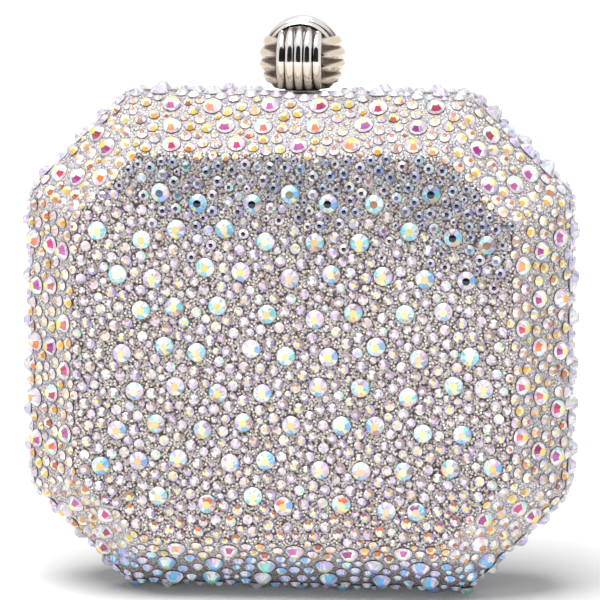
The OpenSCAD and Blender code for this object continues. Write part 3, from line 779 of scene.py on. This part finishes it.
def outer_triangles(node):
    """Corners, normals and areas of the triangles on the outside of a shell."""
    mesh = frame["nodes"][node].data
    mesh.calc_loop_triangles()
    corners = np.array([[mesh.vertices[i].co for i in t.vertices] for t in mesh.loop_triangles])
    cross = np.cross(corners[:, 1] - corners[:, 0], corners[:, 2] - corners[:, 0])
    area = np.linalg.norm(cross, axis=1) / 2
    real = area > SPECK
    corners, cross, area = corners[real], cross[real], area[real]
    normal = cross / (2 * area)[:, None]
    outwards = (normal * (corners.mean(1) - np.array(middle))).sum(1)
    kept = outwards > OUTSIDE
    return corners[kept], normal[kept], area[kept]


def scattered(triangles, count, rng):
    """Places spread evenly by chance over triangles, and their normals."""
    corners, normal, area = triangles
    pick = rng.choice(len(area), count, p=area / area.sum())
    a, b = rng.random(count), rng.random(count)
    over = a + b > 1
    a[over], b[over] = 1 - a[over], 1 - b[over]
    c = corners[pick]
    places = c[:, 0] + a[:, None] * (c[:, 1] - c[:, 0]) + b[:, None] * (c[:, 2] - c[:, 0])
    return places, normal[pick]


# Room left round the pressed ball, at the parting line and beside the hinges, and the hinge leaves' depth
BALL_ROOM = 0.25 * MM
SEAM_ROOM = 0.05 * MM
HINGE_ROOM = 0.4 * MM
HINGE_REACH = 1.6 * MM


def pressed_ball_reach(height):
    """Radius of the pressed ball at a height over the shell."""
    below = knot_centre.z - press_travel - (shell_high.z + height)
    return math.sqrt(ball_radius ** 2 - below ** 2)


def clear_of_fittings(places, normals, radius, height):
    """Keeps crystals off the parting line, the hinges and the ground under the pressed ball."""
    depth = np.abs(places[:, 1])
    tilted = np.abs(normals[:, 1]) < PANEL_TILT
    keep = depth > shell_start + radius * tilted + SEAM_ROOM
    low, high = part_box("back_hinge_leaf_right")
    room = (high.x - low.x) / 2 + HINGE_ROOM + radius
    beside_hinge = np.abs(np.abs(places[:, 0]) - (low.x + high.x) / 2) < room
    keep &= ~(beside_hinge & (places[:, 2] < middle.z) & (depth < HINGE_REACH + radius) & tilted)
    from_clasp = np.hypot(places[:, 0] - clasp_axis.x, places[:, 1] - clasp_axis.y)
    reach = pressed_ball_reach(height) + BALL_ROOM + radius
    keep &= ~((from_clasp < reach) & (places[:, 2] > middle.z))
    return keep


def tree_of(places):
    tree = KDTree(len(places))
    for i, p in enumerate(places):
        tree.insert(p, i)
    tree.balance()
    return tree


def clear_of(seats, places, room):
    """Which places are more than room outside the girdle of the nearest seat."""
    tree = tree_of(seats.places)
    found = [tree.find(p)[1:] for p in places]
    return np.array([distance > seats.radii[i] + room for i, distance in found])


def thinned(places, gap):
    """Indices of candidates taken in turn, each at least a gap from those taken before."""
    keys = np.floor(places / gap).astype(int)
    taken, grid = [], {}
    around = [(i, j, k) for i in (-1, 0, 1) for j in (-1, 0, 1) for k in (-1, 0, 1)]
    for n, (p, key) in enumerate(zip(places.tolist(), keys.tolist())):
        near = (q for i, j, k in around for q in grid.get((key[0] + i, key[1] + j, key[2] + k), ()))
        if all((p[0] - q[0]) ** 2 + (p[1] - q[1]) ** 2 + (p[2] - q[2]) ** 2 > gap * gap for q in near):
            taken.append(n)
            grid.setdefault(tuple(key), []).append(p)
    return taken


# How far a sown crystal stands off the shell, the ring left open round each larger one, and its radius as a
# share of the one given
LIFT = 0.02 * MM
RING = 0.05 * MM
SOWN_SPREAD = (0.9, 1.0)
# Radii and least spacings of the small crystals in the wider gaps, and the spacing of the fine ones
SMALL_SIZES = [(1.25 * MM, 2.6 * MM), (0.95 * MM, 2.0 * MM)]
CHIP_GAP = 0.66 * MM


def sown(triangles, count, others, radius, height, gap, rng):
    """Seats for crystals of one radius on the free ground between the others."""
    places, normals = scattered(triangles, count, rng)
    keep = clear_of_fittings(places, normals, radius, height)
    places, normals = places[keep], normals[keep]
    for seats in others:
        keep = clear_of(seats, places, radius + RING)
        places, normals = places[keep], normals[keep]
    taken = thinned(places, gap)
    radii = radius * rng.uniform(*SOWN_SPREAD, len(taken))
    return Seats(places[taken] + normals[taken] * LIFT, normals[taken], radii)


# How much the painted shade on the panel darkens the fine crystals, and their brightness from stone to stone
# and from facet to facet
CHIP_PAINTED_SHADE = 0.3
CHIP_STONE_SPREAD = (0.86, 1.06)
CHIP_FACET_SPREAD = (0.9, 1.05)


def chip_colours(seats, cut, rng):
    """Facet colours of the fine crystals, by place (with painted shade on the panel and low under the case) and
    by chance.
    """
    count, facets = len(seats), len(cut.part)
    colours = np.array(CHIP_COLOURS)
    panel = rng.choice(len(colours), count, p=CHIP_SHARES_PANEL)
    slope = rng.choice(len(colours), count, p=CHIP_SHARES_SLOPE)
    base = colours[np.where(np.isin(seats.zone, ("panel", "foot")), panel, slope)][:, None, :]
    # Painted shade near the top of the panel
    dusk = (CHIP_PAINTED_SHADE * painted_shade_at(seats.places) * (seats.zone == "panel"))[:, None, None]
    # Painted shade low under the case
    under = seats.under[:, None, None]
    base = blended(base * (1 - dusk), base * LOW_PAINTED_SHADE, under)
    stone = rng.uniform(*CHIP_STONE_SPREAD, (count, 1, 1))
    return base * stone * rng.uniform(*CHIP_FACET_SPREAD, (count, facets, 1))


SEEDS = {FRONT: 7, BACK: 19}
# Places tried for the small and for the fine crystals
SMALL_THROWS = 40000
CHIP_THROWS = 600000


def add_crystals(name, body, cut, seats, colours, rng, replaced=()):
    """A piece of crystals of one cut, coloured facet by facet."""
    add_piece(name, cut_copies(name, cut, seats, colours, rng), crystal_finish, body, replaced)


def dress_half(side):
    """Dresses a half with its crystals, the large ones first, and then ever smaller ones in the gaps."""
    name, body = SIDE_NAME[side], SIDE_BODY[side]
    rng = np.random.default_rng(SEEDS[side])
    ground = outer_triangles(f"{name}_shell")

    large_nodes = (f"{name}_crystals", f"{name}_base_crystals")
    large = packed_seats(*large_nodes)
    colours = facet_colours(large_cut, large, rng, LARGE_LOOKS)
    add_crystals(f"{name}_large_crystals", body, large_cut, large, colours, rng, large_nodes)

    medium_node = f"{name}_medium_crystals"
    medium = packed_seats(medium_node)
    colours = facet_colours(medium_cut, medium, rng, MEDIUM_LOOKS)
    add_crystals(f"{name}_faceted_crystals", body, medium_cut, medium, colours, rng, (medium_node,))

    dressed = [large, medium]
    for number, (radius, gap) in enumerate(SMALL_SIZES, 1):
        small_height = medium_height * radius / medium_radius + LIFT
        small = sown(ground, SMALL_THROWS, dressed, radius, small_height, gap, rng)
        colours = facet_colours(medium_cut, small, rng, MEDIUM_LOOKS)
        add_crystals(f"{name}_small_crystals_{number}", body, medium_cut, small, colours, rng)
        dressed.append(small)
    chips = sown(ground, CHIP_THROWS, dressed, chip_radius, chip_height + LIFT, CHIP_GAP, rng)
    colours = chip_colours(chips, chip_cut, rng)
    add_crystals(f"{name}_fine_crystals", body, chip_cut, chips, colours, rng)


dress_half(FRONT)
dress_half(BACK)


# Knotted ball

# Strands in a bundle and their pitch: upright in front and behind and across the top, and level at the sides
FINE_BUNDLE = (5, 2.1 * MM)
SIDE_BUNDLE = (4, 2.75 * MM)
# Radius of a strand as a share of its pitch, how deep its ends dip, and half the angle that it spans
STRAND_SHARE = 0.62
STRAND_DIP = 1.3 * MM
STRAND_REACH = math.radians(70)
STRAND_STEPS, STRAND_SIDES = 30, 16
CORE_DEPTH = 0.8 * MM
# Room round the collar inside the ball
RECESS_ROOM = 0.6 * MM
RECESS_ABOVE = 0.3 * MM
# Depth over which the grooves take on painted shade
GROOVE_DEPTH = 1.2 * MM
KNOT_SHARP = math.radians(50)
# The silver takes on a painted warm reflection between these distances from the middle, sideways and downwards
WARM_REFLECTION_ASIDE = (4.5 * MM, 8.0 * MM)
WARM_REFLECTION_BELOW = (2.0 * MM, -3.0 * MM)


def knot_material():
    """Polished silver, with painted shade in the grooves between the strands and a painted warm reflection at
    the sides and below.
    """
    material, tree, shader = new_material("knot_silver")
    place = object_place(tree, knot_centre)
    length = tree.nodes.new("ShaderNodeVectorMath")
    length.operation = "LENGTH"
    tree.links.new(place, length.inputs[0])
    # Painted shade, darkest deep in the grooves
    depth = ranged(tree, length.outputs["Value"], ball_radius - GROOVE_DEPTH, ball_radius, 0, 1)
    colour = ramp(tree, depth, [
        (0.15, linear(0.09, 0.08, 0.08)),
        (0.45, linear(0.50, 0.46, 0.44)),
        (0.62, linear(0.90, 0.89, 0.88)),
    ])
    axes = parts_of(tree, place)
    aside = ranged(tree, calculated(tree, "ABSOLUTE", axes["X"]), *WARM_REFLECTION_ASIDE, 0, 1)
    below = ranged(tree, axes["Z"], *WARM_REFLECTION_BELOW, 0, 0.8)
    warm_reflection = mixed(tree, 1.0, colour, linear(0.98, 0.92, 0.84), "MULTIPLY")
    colour = mixed(tree, calculated(tree, "MAXIMUM", aside, below), colour, warm_reflection)
    tree.links.new(colour, shader.inputs["Base Color"])
    shader.inputs["Metallic"].default_value = 1.0
    tree.links.new(add_patches(tree, 300, 0.05, 0.14)["Value"], shader.inputs["Roughness"])
    return material


def add_strand(bm, offset, strand_radius, turn):
    """One strand over the side +X of the knot, its ends dipping under the next bundle, turned into place."""
    reach = math.sqrt((ball_radius - strand_radius) ** 2 - offset ** 2) - STRAND_DIP
    made = bmesh.ops.create_circle(bm, cap_ends=True, segments=STRAND_SIDES, radius=strand_radius)
    verts = made["verts"]
    stand = Matrix.Translation((reach, 0, 0)) @ Matrix.Rotation(math.pi / 2, 4, "X")
    bmesh.ops.transform(bm, matrix=stand, verts=verts)
    bmesh.ops.rotate(bm, cent=(0, 0, 0), matrix=Matrix.Rotation(-STRAND_REACH, 3, "Z"), verts=verts)
    faces = list({f for v in verts for f in v.link_faces})
    spun = bmesh.ops.spin(bm, geom=faces, cent=(0, 0, 0), axis=(0, 0, 1),
                          angle=2 * STRAND_REACH, steps=STRAND_STEPS)
    last = [g for g in spun["geom_last"] if isinstance(g, bmesh.types.BMVert)]
    place = turn @ Matrix.Translation((STRAND_DIP, 0, offset))
    bmesh.ops.transform(bm, matrix=place, verts=joined_to([*last, *verts]))


def knot_bundles():
    """Bundles of the knot, each with the turn that sets the strands of the side +X in its place."""
    quarter = math.pi / 2
    yield SIDE_BUNDLE, Matrix.Rotation(0, 4, "Z")
    yield SIDE_BUNDLE, Matrix.Rotation(math.pi, 4, "Z")
    for angle in (quarter, -quarter):
        yield FINE_BUNDLE, Matrix.Rotation(angle, 4, "Z") @ Matrix.Rotation(quarter, 4, "X")
    yield FINE_BUNDLE, Matrix.Rotation(quarter, 4, "X") @ Matrix.Rotation(quarter, 4, "Z")


def hollowed(piece_mesh, cutter_mesh):
    """The first mesh joined into one skin, less the second."""
    piece = add_object("knot_work", piece_mesh)
    cutter = add_object("recess_work", cutter_mesh)
    cut = piece.modifiers.new("recess", "BOOLEAN")
    cut.operation = "DIFFERENCE"
    cut.solver = "EXACT"
    cut.use_self = True
    cut.object = cutter
    depsgraph = bpy.context.evaluated_depsgraph_get()
    mesh = bpy.data.meshes.new_from_object(piece.evaluated_get(depsgraph))
    bpy.data.objects.remove(piece)
    bpy.data.objects.remove(cutter)
    return mesh


def make_ball():
    bm = bmesh.new()
    for (count, pitch), turn in knot_bundles():
        for step in range(count):
            add_strand(bm, (step - (count - 1) / 2) * pitch, pitch * STRAND_SHARE, turn)
    bmesh.ops.create_icosphere(bm, subdivisions=4, radius=ball_radius - CORE_DEPTH)
    bmesh.ops.translate(bm, vec=knot_centre, verts=bm.verts)
    cut = bmesh.ops.bisect_plane(bm, geom=bm.verts[:] + bm.edges[:] + bm.faces[:], dist=MERGE,
                                 plane_co=(0, 0, ball_low.z), plane_no=(0, 0, -1), clear_outer=True)
    edges = [g for g in cut["geom_cut"] if isinstance(g, bmesh.types.BMEdge)]
    bmesh.ops.holes_fill(bm, edges=edges)
    bmesh.ops.recalc_face_normals(bm, faces=bm.faces)
    strands = mesh_from(bm, "knot_strands")

    top = collar_high.z + press_travel + RECESS_ABOVE
    bottom = ball_low.z - RECESS_ABOVE
    bm = bmesh.new()
    recess_radius = (collar_high.x - collar_low.x) / 2 + RECESS_ROOM
    bmesh.ops.create_cone(bm, cap_ends=True, segments=48, radius1=recess_radius, radius2=recess_radius,
                          depth=top - bottom)
    bmesh.ops.translate(bm, vec=(clasp_axis.x, clasp_axis.y, (top + bottom) / 2), verts=bm.verts)
    mesh = hollowed(strands, mesh_from(bm, "recess"))
    mesh.name = "knotted_ball"
    mesh.polygons.foreach_set("use_smooth", [True] * len(mesh.polygons))
    mesh.set_sharp_from_angle(angle=KNOT_SHARP)
    mesh.materials.clear()
    return add_piece("knotted_ball", mesh, knot_material(), "clasp", ("clasp_ball",))


make_ball()


# Return spring

def make_spring():
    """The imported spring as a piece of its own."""
    bm = bmesh.new()
    bm.from_mesh(frame["nodes"]["return_spring"].data)
    bmesh.ops.remove_doubles(bm, verts=bm.verts, dist=MERGE)
    mesh = mesh_from(bm, "coil_spring")
    piece = add_piece("coil_spring", mesh, spring_finish, "case", ("return_spring",))
    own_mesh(piece)


make_spring()


# Linings

# Grains of the leather in a metre, the share of a grain that its edge takes up, and its relief
LEATHER_GRAINS = 1500
LEATHER_EDGE = 0.25
LEATHER_RELIEF = 0.12 * MM


def leather_material():
    """Silver-grey leather with a fine pebbled grain."""
    material, tree, shader = new_material("silver_leather")
    voronoi = tree.nodes.new("ShaderNodeTexVoronoi")
    voronoi.feature = "DISTANCE_TO_EDGE"
    voronoi.inputs["Scale"].default_value = LEATHER_GRAINS
    tree.links.new(object_place(tree), voronoi.inputs["Vector"])
    grain = ranged(tree, voronoi.outputs["Distance"], 0.0, LEATHER_EDGE, 0.0, 1.0)
    colour = mixed(tree, grain, linear(0.55, 0.53, 0.52), linear(0.78, 0.76, 0.75))
    tree.links.new(add_patches(tree, 40, 0.88, 1.04, colour)["Tinted"], shader.inputs["Base Color"])
    tree.links.new(add_patches(tree, 90, 0.34, 0.48)["Value"], shader.inputs["Roughness"])
    shader.inputs["Metallic"].default_value = 0.35
    bumped(tree, shader, grain, 0.5, LEATHER_RELIEF)
    return material


leather_finish = leather_material()

LEATHER_THICKNESS = 0.9 * MM
# The lining follows the inside of the shell: a shoulder of this radius, which turns through this angle, a
# slope, and an edge (inwards, deeper) to the flat floor. Its eight corners are rounded.
MOUTH_CORNER_CUT = 23.2 * MM
LINING_SHOULDER = 5.7 * MM
SHOULDER_STEPS = 4
LINING_ANGLE = math.radians(44)
FLOOR_EDGE = (0.9 * MM, 0.4 * MM)
LINING_CORNER = 2.2 * MM
LINING_SHARP = math.radians(40)
# An edge that rises more than the first runs up a corner, and depths within the second are one floor
CORNER_RISE = 0.05 * MM
FLOOR_WITHIN = 0.01 * MM
PIPING_RADIUS = 0.45 * MM
PIPING_CORNER = 3 * MM
# How much shorter a corner cut gets for each step inwards
INSET_CORNER = 0.6


def octagon_face(bm, width, height, corner_cut):
    """Flat octagon round the origin of the XY plane, facing +Z."""
    bmesh.ops.create_grid(bm, x_segments=1, y_segments=1, size=0.5)
    bmesh.ops.scale(bm, vec=(width, height, 1), verts=bm.verts)
    bmesh.ops.bevel(bm, geom=bm.verts[:], offset=corner_cut, affect="VERTICES", segments=1, profile=0.5,
                    material=-1)
    face = bm.faces[:][0]
    if face.normal.z < 0:
        face.normal_flip()
    return face


def lay_in_half(bm, side, depth):
    """Stands work made over the XY plane in a half, with its height along the depth of the case."""
    lay = Matrix.Translation((0, -depth, middle.z)) @ Matrix.Rotation(math.pi / 2, 4, "X")
    bmesh.ops.transform(bm, matrix=lay, verts=bm.verts)
    if side == BACK:
        bmesh.ops.transform(bm, matrix=Matrix.Scale(-1, 4, (0, 1, 0)), verts=bm.verts)
    bmesh.ops.recalc_face_normals(bm, faces=bm.faces)


def lining_steps(inset, rise):
    """Steps (inset, rise) from the mouth of a lining over its shoulder and slope to its floor."""
    angles = [LINING_ANGLE * j / SHOULDER_STEPS for j in range(SHOULDER_STEPS + 1)]
    steps = [(LINING_SHOULDER * (math.cos(a) - math.cos(b)), LINING_SHOULDER * (math.sin(b) - math.sin(a)))
             for a, b in zip(angles, angles[1:])]
    slope = [whole - sum(step[i] for step in steps) - FLOOR_EDGE[i] for i, whole in enumerate((inset, rise))]
    return steps + [slope, FLOOR_EDGE]


def floor_half_width(node):
    """Half the width of a packed lining's flat floor, on its outside."""
    places = np.array([v.co for v in frame["nodes"][node].data.vertices])
    deepest = np.abs(places[:, 1]).max()
    return np.abs(places[np.abs(places[:, 1]) > deepest - FLOOR_WITHIN, 0]).max()


def cut_out(bm, left, right, foot, rise):
    """Removes the faces of a sheet over the XY plane between two X, above the Y of foot and below rise."""
    sides = [((left, 0, 0), (1, 0, 0)), ((right, 0, 0), (1, 0, 0)),
             ((0, foot, 0), (0, 1, 0)), ((0, 0, rise), (0, 0, 1))]
    for place, normal in sides:
        bmesh.ops.bisect_plane(bm, geom=bm.verts[:] + bm.edges[:] + bm.faces[:], dist=MERGE,
                               plane_co=place, plane_no=normal)
    inside = []
    for face in bm.faces:
        c = face.calc_center_median()
        if left < c.x < right and c.y > foot and c.z < rise:
            inside.append(face)
    bmesh.ops.delete(bm, geom=inside, context="FACES")


# Room round the latch, for which the back lining is cut out
HOUSING_ROOM = 0.4 * MM


def make_lining(side):
    """Leather lining of a half, drawn from its mouth down to its floor."""
    name = SIDE_NAME[side]
    low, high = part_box(f"{name}_lining")
    mouth_depth = min(abs(low.y), abs(high.y))
    rise = high.y - low.y
    inset = high.x - floor_half_width(f"{name}_lining")
    bm = bmesh.new()
    floor = octagon_face(bm, high.x - low.x, high.z - low.z, MOUTH_CORNER_CUT)
    for step_inset, step_rise in lining_steps(inset, rise):
        bmesh.ops.inset_region(bm, faces=[floor], thickness=step_inset, depth=step_rise,
                               use_boundary=True, use_even_offset=True)
    corners = [e for e in bm.edges if abs(e.verts[0].co.z - e.verts[1].co.z) > CORNER_RISE]
    bmesh.ops.bevel(bm, geom=corners, offset=LINING_CORNER, affect="EDGES", segments=4, profile=0.5,
                    material=-1)
    if side == BACK:
        housing_low, housing_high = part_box("latch_housing")
        cover_low, cover_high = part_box("latch_cover")
        cut_out(bm, cover_low.x - HOUSING_ROOM, cover_high.x + HOUSING_ROOM,
                housing_low.z - HOUSING_ROOM - middle.z, housing_high.y + HOUSING_ROOM - mouth_depth)
    bmesh.ops.recalc_face_normals(bm, faces=bm.faces)
    bmesh.ops.solidify(bm, geom=bm.faces[:], thickness=LEATHER_THICKNESS)
    lay_in_half(bm, side, mouth_depth)
    mesh = mesh_from(bm, f"{name}_leather_lining", smooth=True)
    mesh.set_sharp_from_angle(angle=LINING_SHARP)
    add_piece(f"{name}_leather_lining", mesh, leather_finish, SIDE_BODY[side], (f"{name}_lining",))


make_lining(FRONT)
make_lining(BACK)


def make_piping(side):
    """Leather piping round the mouth of a lining."""
    name = SIDE_NAME[side]
    low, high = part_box(f"{name}_lining")
    bm = bmesh.new()
    inset = LEATHER_THICKNESS + PIPING_RADIUS
    octagon_face(bm, high.x - low.x - 2 * inset, high.z - low.z - 2 * inset,
                 MOUTH_CORNER_CUT - INSET_CORNER * inset)
    bmesh.ops.bevel(bm, geom=bm.verts[:], offset=PIPING_CORNER, affect="VERTICES", segments=5, profile=0.5,
                    material=-1)
    outline = [v.co.copy() for v in bm.faces[:][0].verts]
    bm.free()
    curve = bpy.data.curves.new(f"{name}_piping", "CURVE")
    curve.dimensions = "3D"
    curve.bevel_depth = PIPING_RADIUS
    curve.bevel_resolution = 3
    spline = curve.splines.new("POLY")
    spline.points.add(len(outline) - 1)
    for point, place in zip(spline.points, outline):
        point.co = (*place, 1)
    spline.use_cyclic_u = True
    work = bpy.data.objects.new("piping_work", curve)
    bm = bmesh.new()
    bm.from_mesh(work.to_mesh())
    bpy.data.objects.remove(work)
    mouth_depth = min(abs(low.y), abs(high.y))
    lay_in_half(bm, side, mouth_depth + PIPING_RADIUS)
    mesh = mesh_from(bm, f"{name}_piping", smooth=True)
    add_piece(f"{name}_piping", mesh, leather_finish, SIDE_BODY[side])


make_piping(FRONT)
make_piping(BACK)


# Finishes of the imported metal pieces

CAD_FINISH = {"case_metal": bed_finish, "frame_metal": frame_finish, "clasp_metal": frame_finish,
              "spring_steel": spring_finish}
for row in frame["record"]["subparts"]:
    finish = CAD_FINISH.get(row["material_slot"])
    node = frame["nodes"][row["node"]]
    if finish and not node.hide_render:
        for slot in node.material_slots:
            slot.material = finish


# Floor, light and camera

FLOOR_SIZE = 24.0
FLOOR_SEEN = 1.0
FLOOR_BOUNCE = 0.80
WORLD_LEVEL = 0.15
SUN_FROM = (-0.15, -0.25, 1.0)
SUN_LEVEL = 2.9
SUN_SPREAD = math.radians(45)
# Lamps: place, size and power
LAMPS = {
    "key": ((-0.5, -1.1, 0.16), (0.6, 0.3), 6.4),
    "fill": ((0.8, -0.9, 0.16), (0.6, 0.3), 4.2),
    "back": ((0.3, 1.2, 0.3), (0.6, 0.4), 6.0),
}


def floor_material():
    """White floor that keeps the shadow. It bounces a little less light than the camera sees."""
    material, tree, shader = new_material("white_floor")
    path = tree.nodes.new("ShaderNodeLightPath")
    seen = calculated(tree, "MAXIMUM", path.outputs["Is Camera Ray"], path.outputs["Is Glossy Ray"])
    level = ranged(tree, seen, 0, 1, FLOOR_BOUNCE, FLOOR_SEEN)
    tree.links.new(level, shader.inputs["Base Color"])
    shader.inputs["Roughness"].default_value = 0.9
    shader.inputs["Specular IOR Level"].default_value = 0.0
    return material


def add_stage(name, mesh, material):
    piece = add_object(name, mesh)
    mesh.materials.append(material)
    return piece


def make_floor():
    bm = bmesh.new()
    bmesh.ops.create_grid(bm, x_segments=1, y_segments=1, size=FLOOR_SIZE / 2)
    add_stage("floor", mesh_from(bm, "floor"), floor_material())


SCREEN_SIZE = (3.6, 1.4)
SCREEN_PLACE = (0.1, -1.25, 0.72)


def make_dark_screen():
    """Dark screen over the camera, which the polished ball mirrors and the camera never sees."""
    material, tree, shader = new_material("dark_screen")
    shader.inputs["Base Color"].default_value = linear(0.06, 0.06, 0.06)
    shader.inputs["Roughness"].default_value = 0.9
    bm = bmesh.new()
    bmesh.ops.create_grid(bm, x_segments=1, y_segments=1, size=0.5)
    bmesh.ops.scale(bm, vec=(*SCREEN_SIZE, 1), verts=bm.verts)
    bmesh.ops.rotate(bm, cent=(0, 0, 0), matrix=Matrix.Rotation(math.pi / 2, 3, "X"), verts=bm.verts)
    bmesh.ops.translate(bm, vec=SCREEN_PLACE, verts=bm.verts)
    screen = add_stage("dark_screen", mesh_from(bm, "dark_screen"), material)
    screen.visible_camera = False
    screen.visible_diffuse = False
    screen.visible_shadow = False


def make_world():
    world = bpy.data.worlds.new("studio")
    bpy.context.scene.world = world
    world.use_nodes = True
    tree = world.node_tree
    background = tree.nodes["Background"]
    path = tree.nodes.new("ShaderNodeLightPath")
    seen = calculated(tree, "MAXIMUM", path.outputs["Is Camera Ray"], path.outputs["Is Transmission Ray"])
    seen = calculated(tree, "MAXIMUM", seen, path.outputs["Is Glossy Ray"])
    tree.links.new(ranged(tree, seen, 0, 1, WORLD_LEVEL, 1.0), background.inputs["Strength"])
    background.inputs["Color"].default_value = (1, 1, 1, 1)


def add_lamp(name, place, size, power):
    lamp = add_object(name, bpy.data.lights.new(name, "AREA"))
    lamp.data.shape = "RECTANGLE"
    lamp.data.size, lamp.data.size_y = size
    lamp.data.energy = power
    lamp.location = place
    lamp.rotation_euler = (middle - Vector(place)).to_track_quat("-Z", "Y").to_euler()
    lamp.visible_glossy = False


def add_sun():
    """Wide soft light that falls evenly on the whole floor."""
    sun = add_object("sun", bpy.data.lights.new("sun", "SUN"))
    sun.data.energy = SUN_LEVEL
    sun.data.angle = SUN_SPREAD
    sun.rotation_euler = (-Vector(SUN_FROM)).to_track_quat("-Z", "Y").to_euler()


# The camera stands a little to the right and above. A pixel shows this much of the case.
PIXEL = 0.245 * MM
IMAGE_SIZE = 600
SENSOR = 36
CAMERA_TURN, CAMERA_RISE = math.radians(6.4), math.radians(8.3)
CAMERA_DISTANCE = 1.0
CAMERA_TARGET = Vector((-0.0002, 0, 0.0715))


def make_camera():
    back = Vector((math.sin(CAMERA_TURN) * math.cos(CAMERA_RISE),
                   -math.cos(CAMERA_TURN) * math.cos(CAMERA_RISE), math.sin(CAMERA_RISE)))
    camera = add_object("camera", bpy.data.cameras.new("camera"))
    camera.data.sensor_width = SENSOR
    camera.data.lens = SENSOR * CAMERA_DISTANCE / (IMAGE_SIZE * PIXEL)
    camera.location = CAMERA_TARGET + back * CAMERA_DISTANCE
    camera.rotation_euler = (-back).to_track_quat("-Z", "Y").to_euler()
    bpy.context.scene.camera = camera


make_floor()
make_dark_screen()
make_world()
add_sun()
for name, (place, size, power) in LAMPS.items():
    add_lamp(name, place, size, power)
make_camera()
bpy.context.scene.view_settings.view_transform = "Standard"
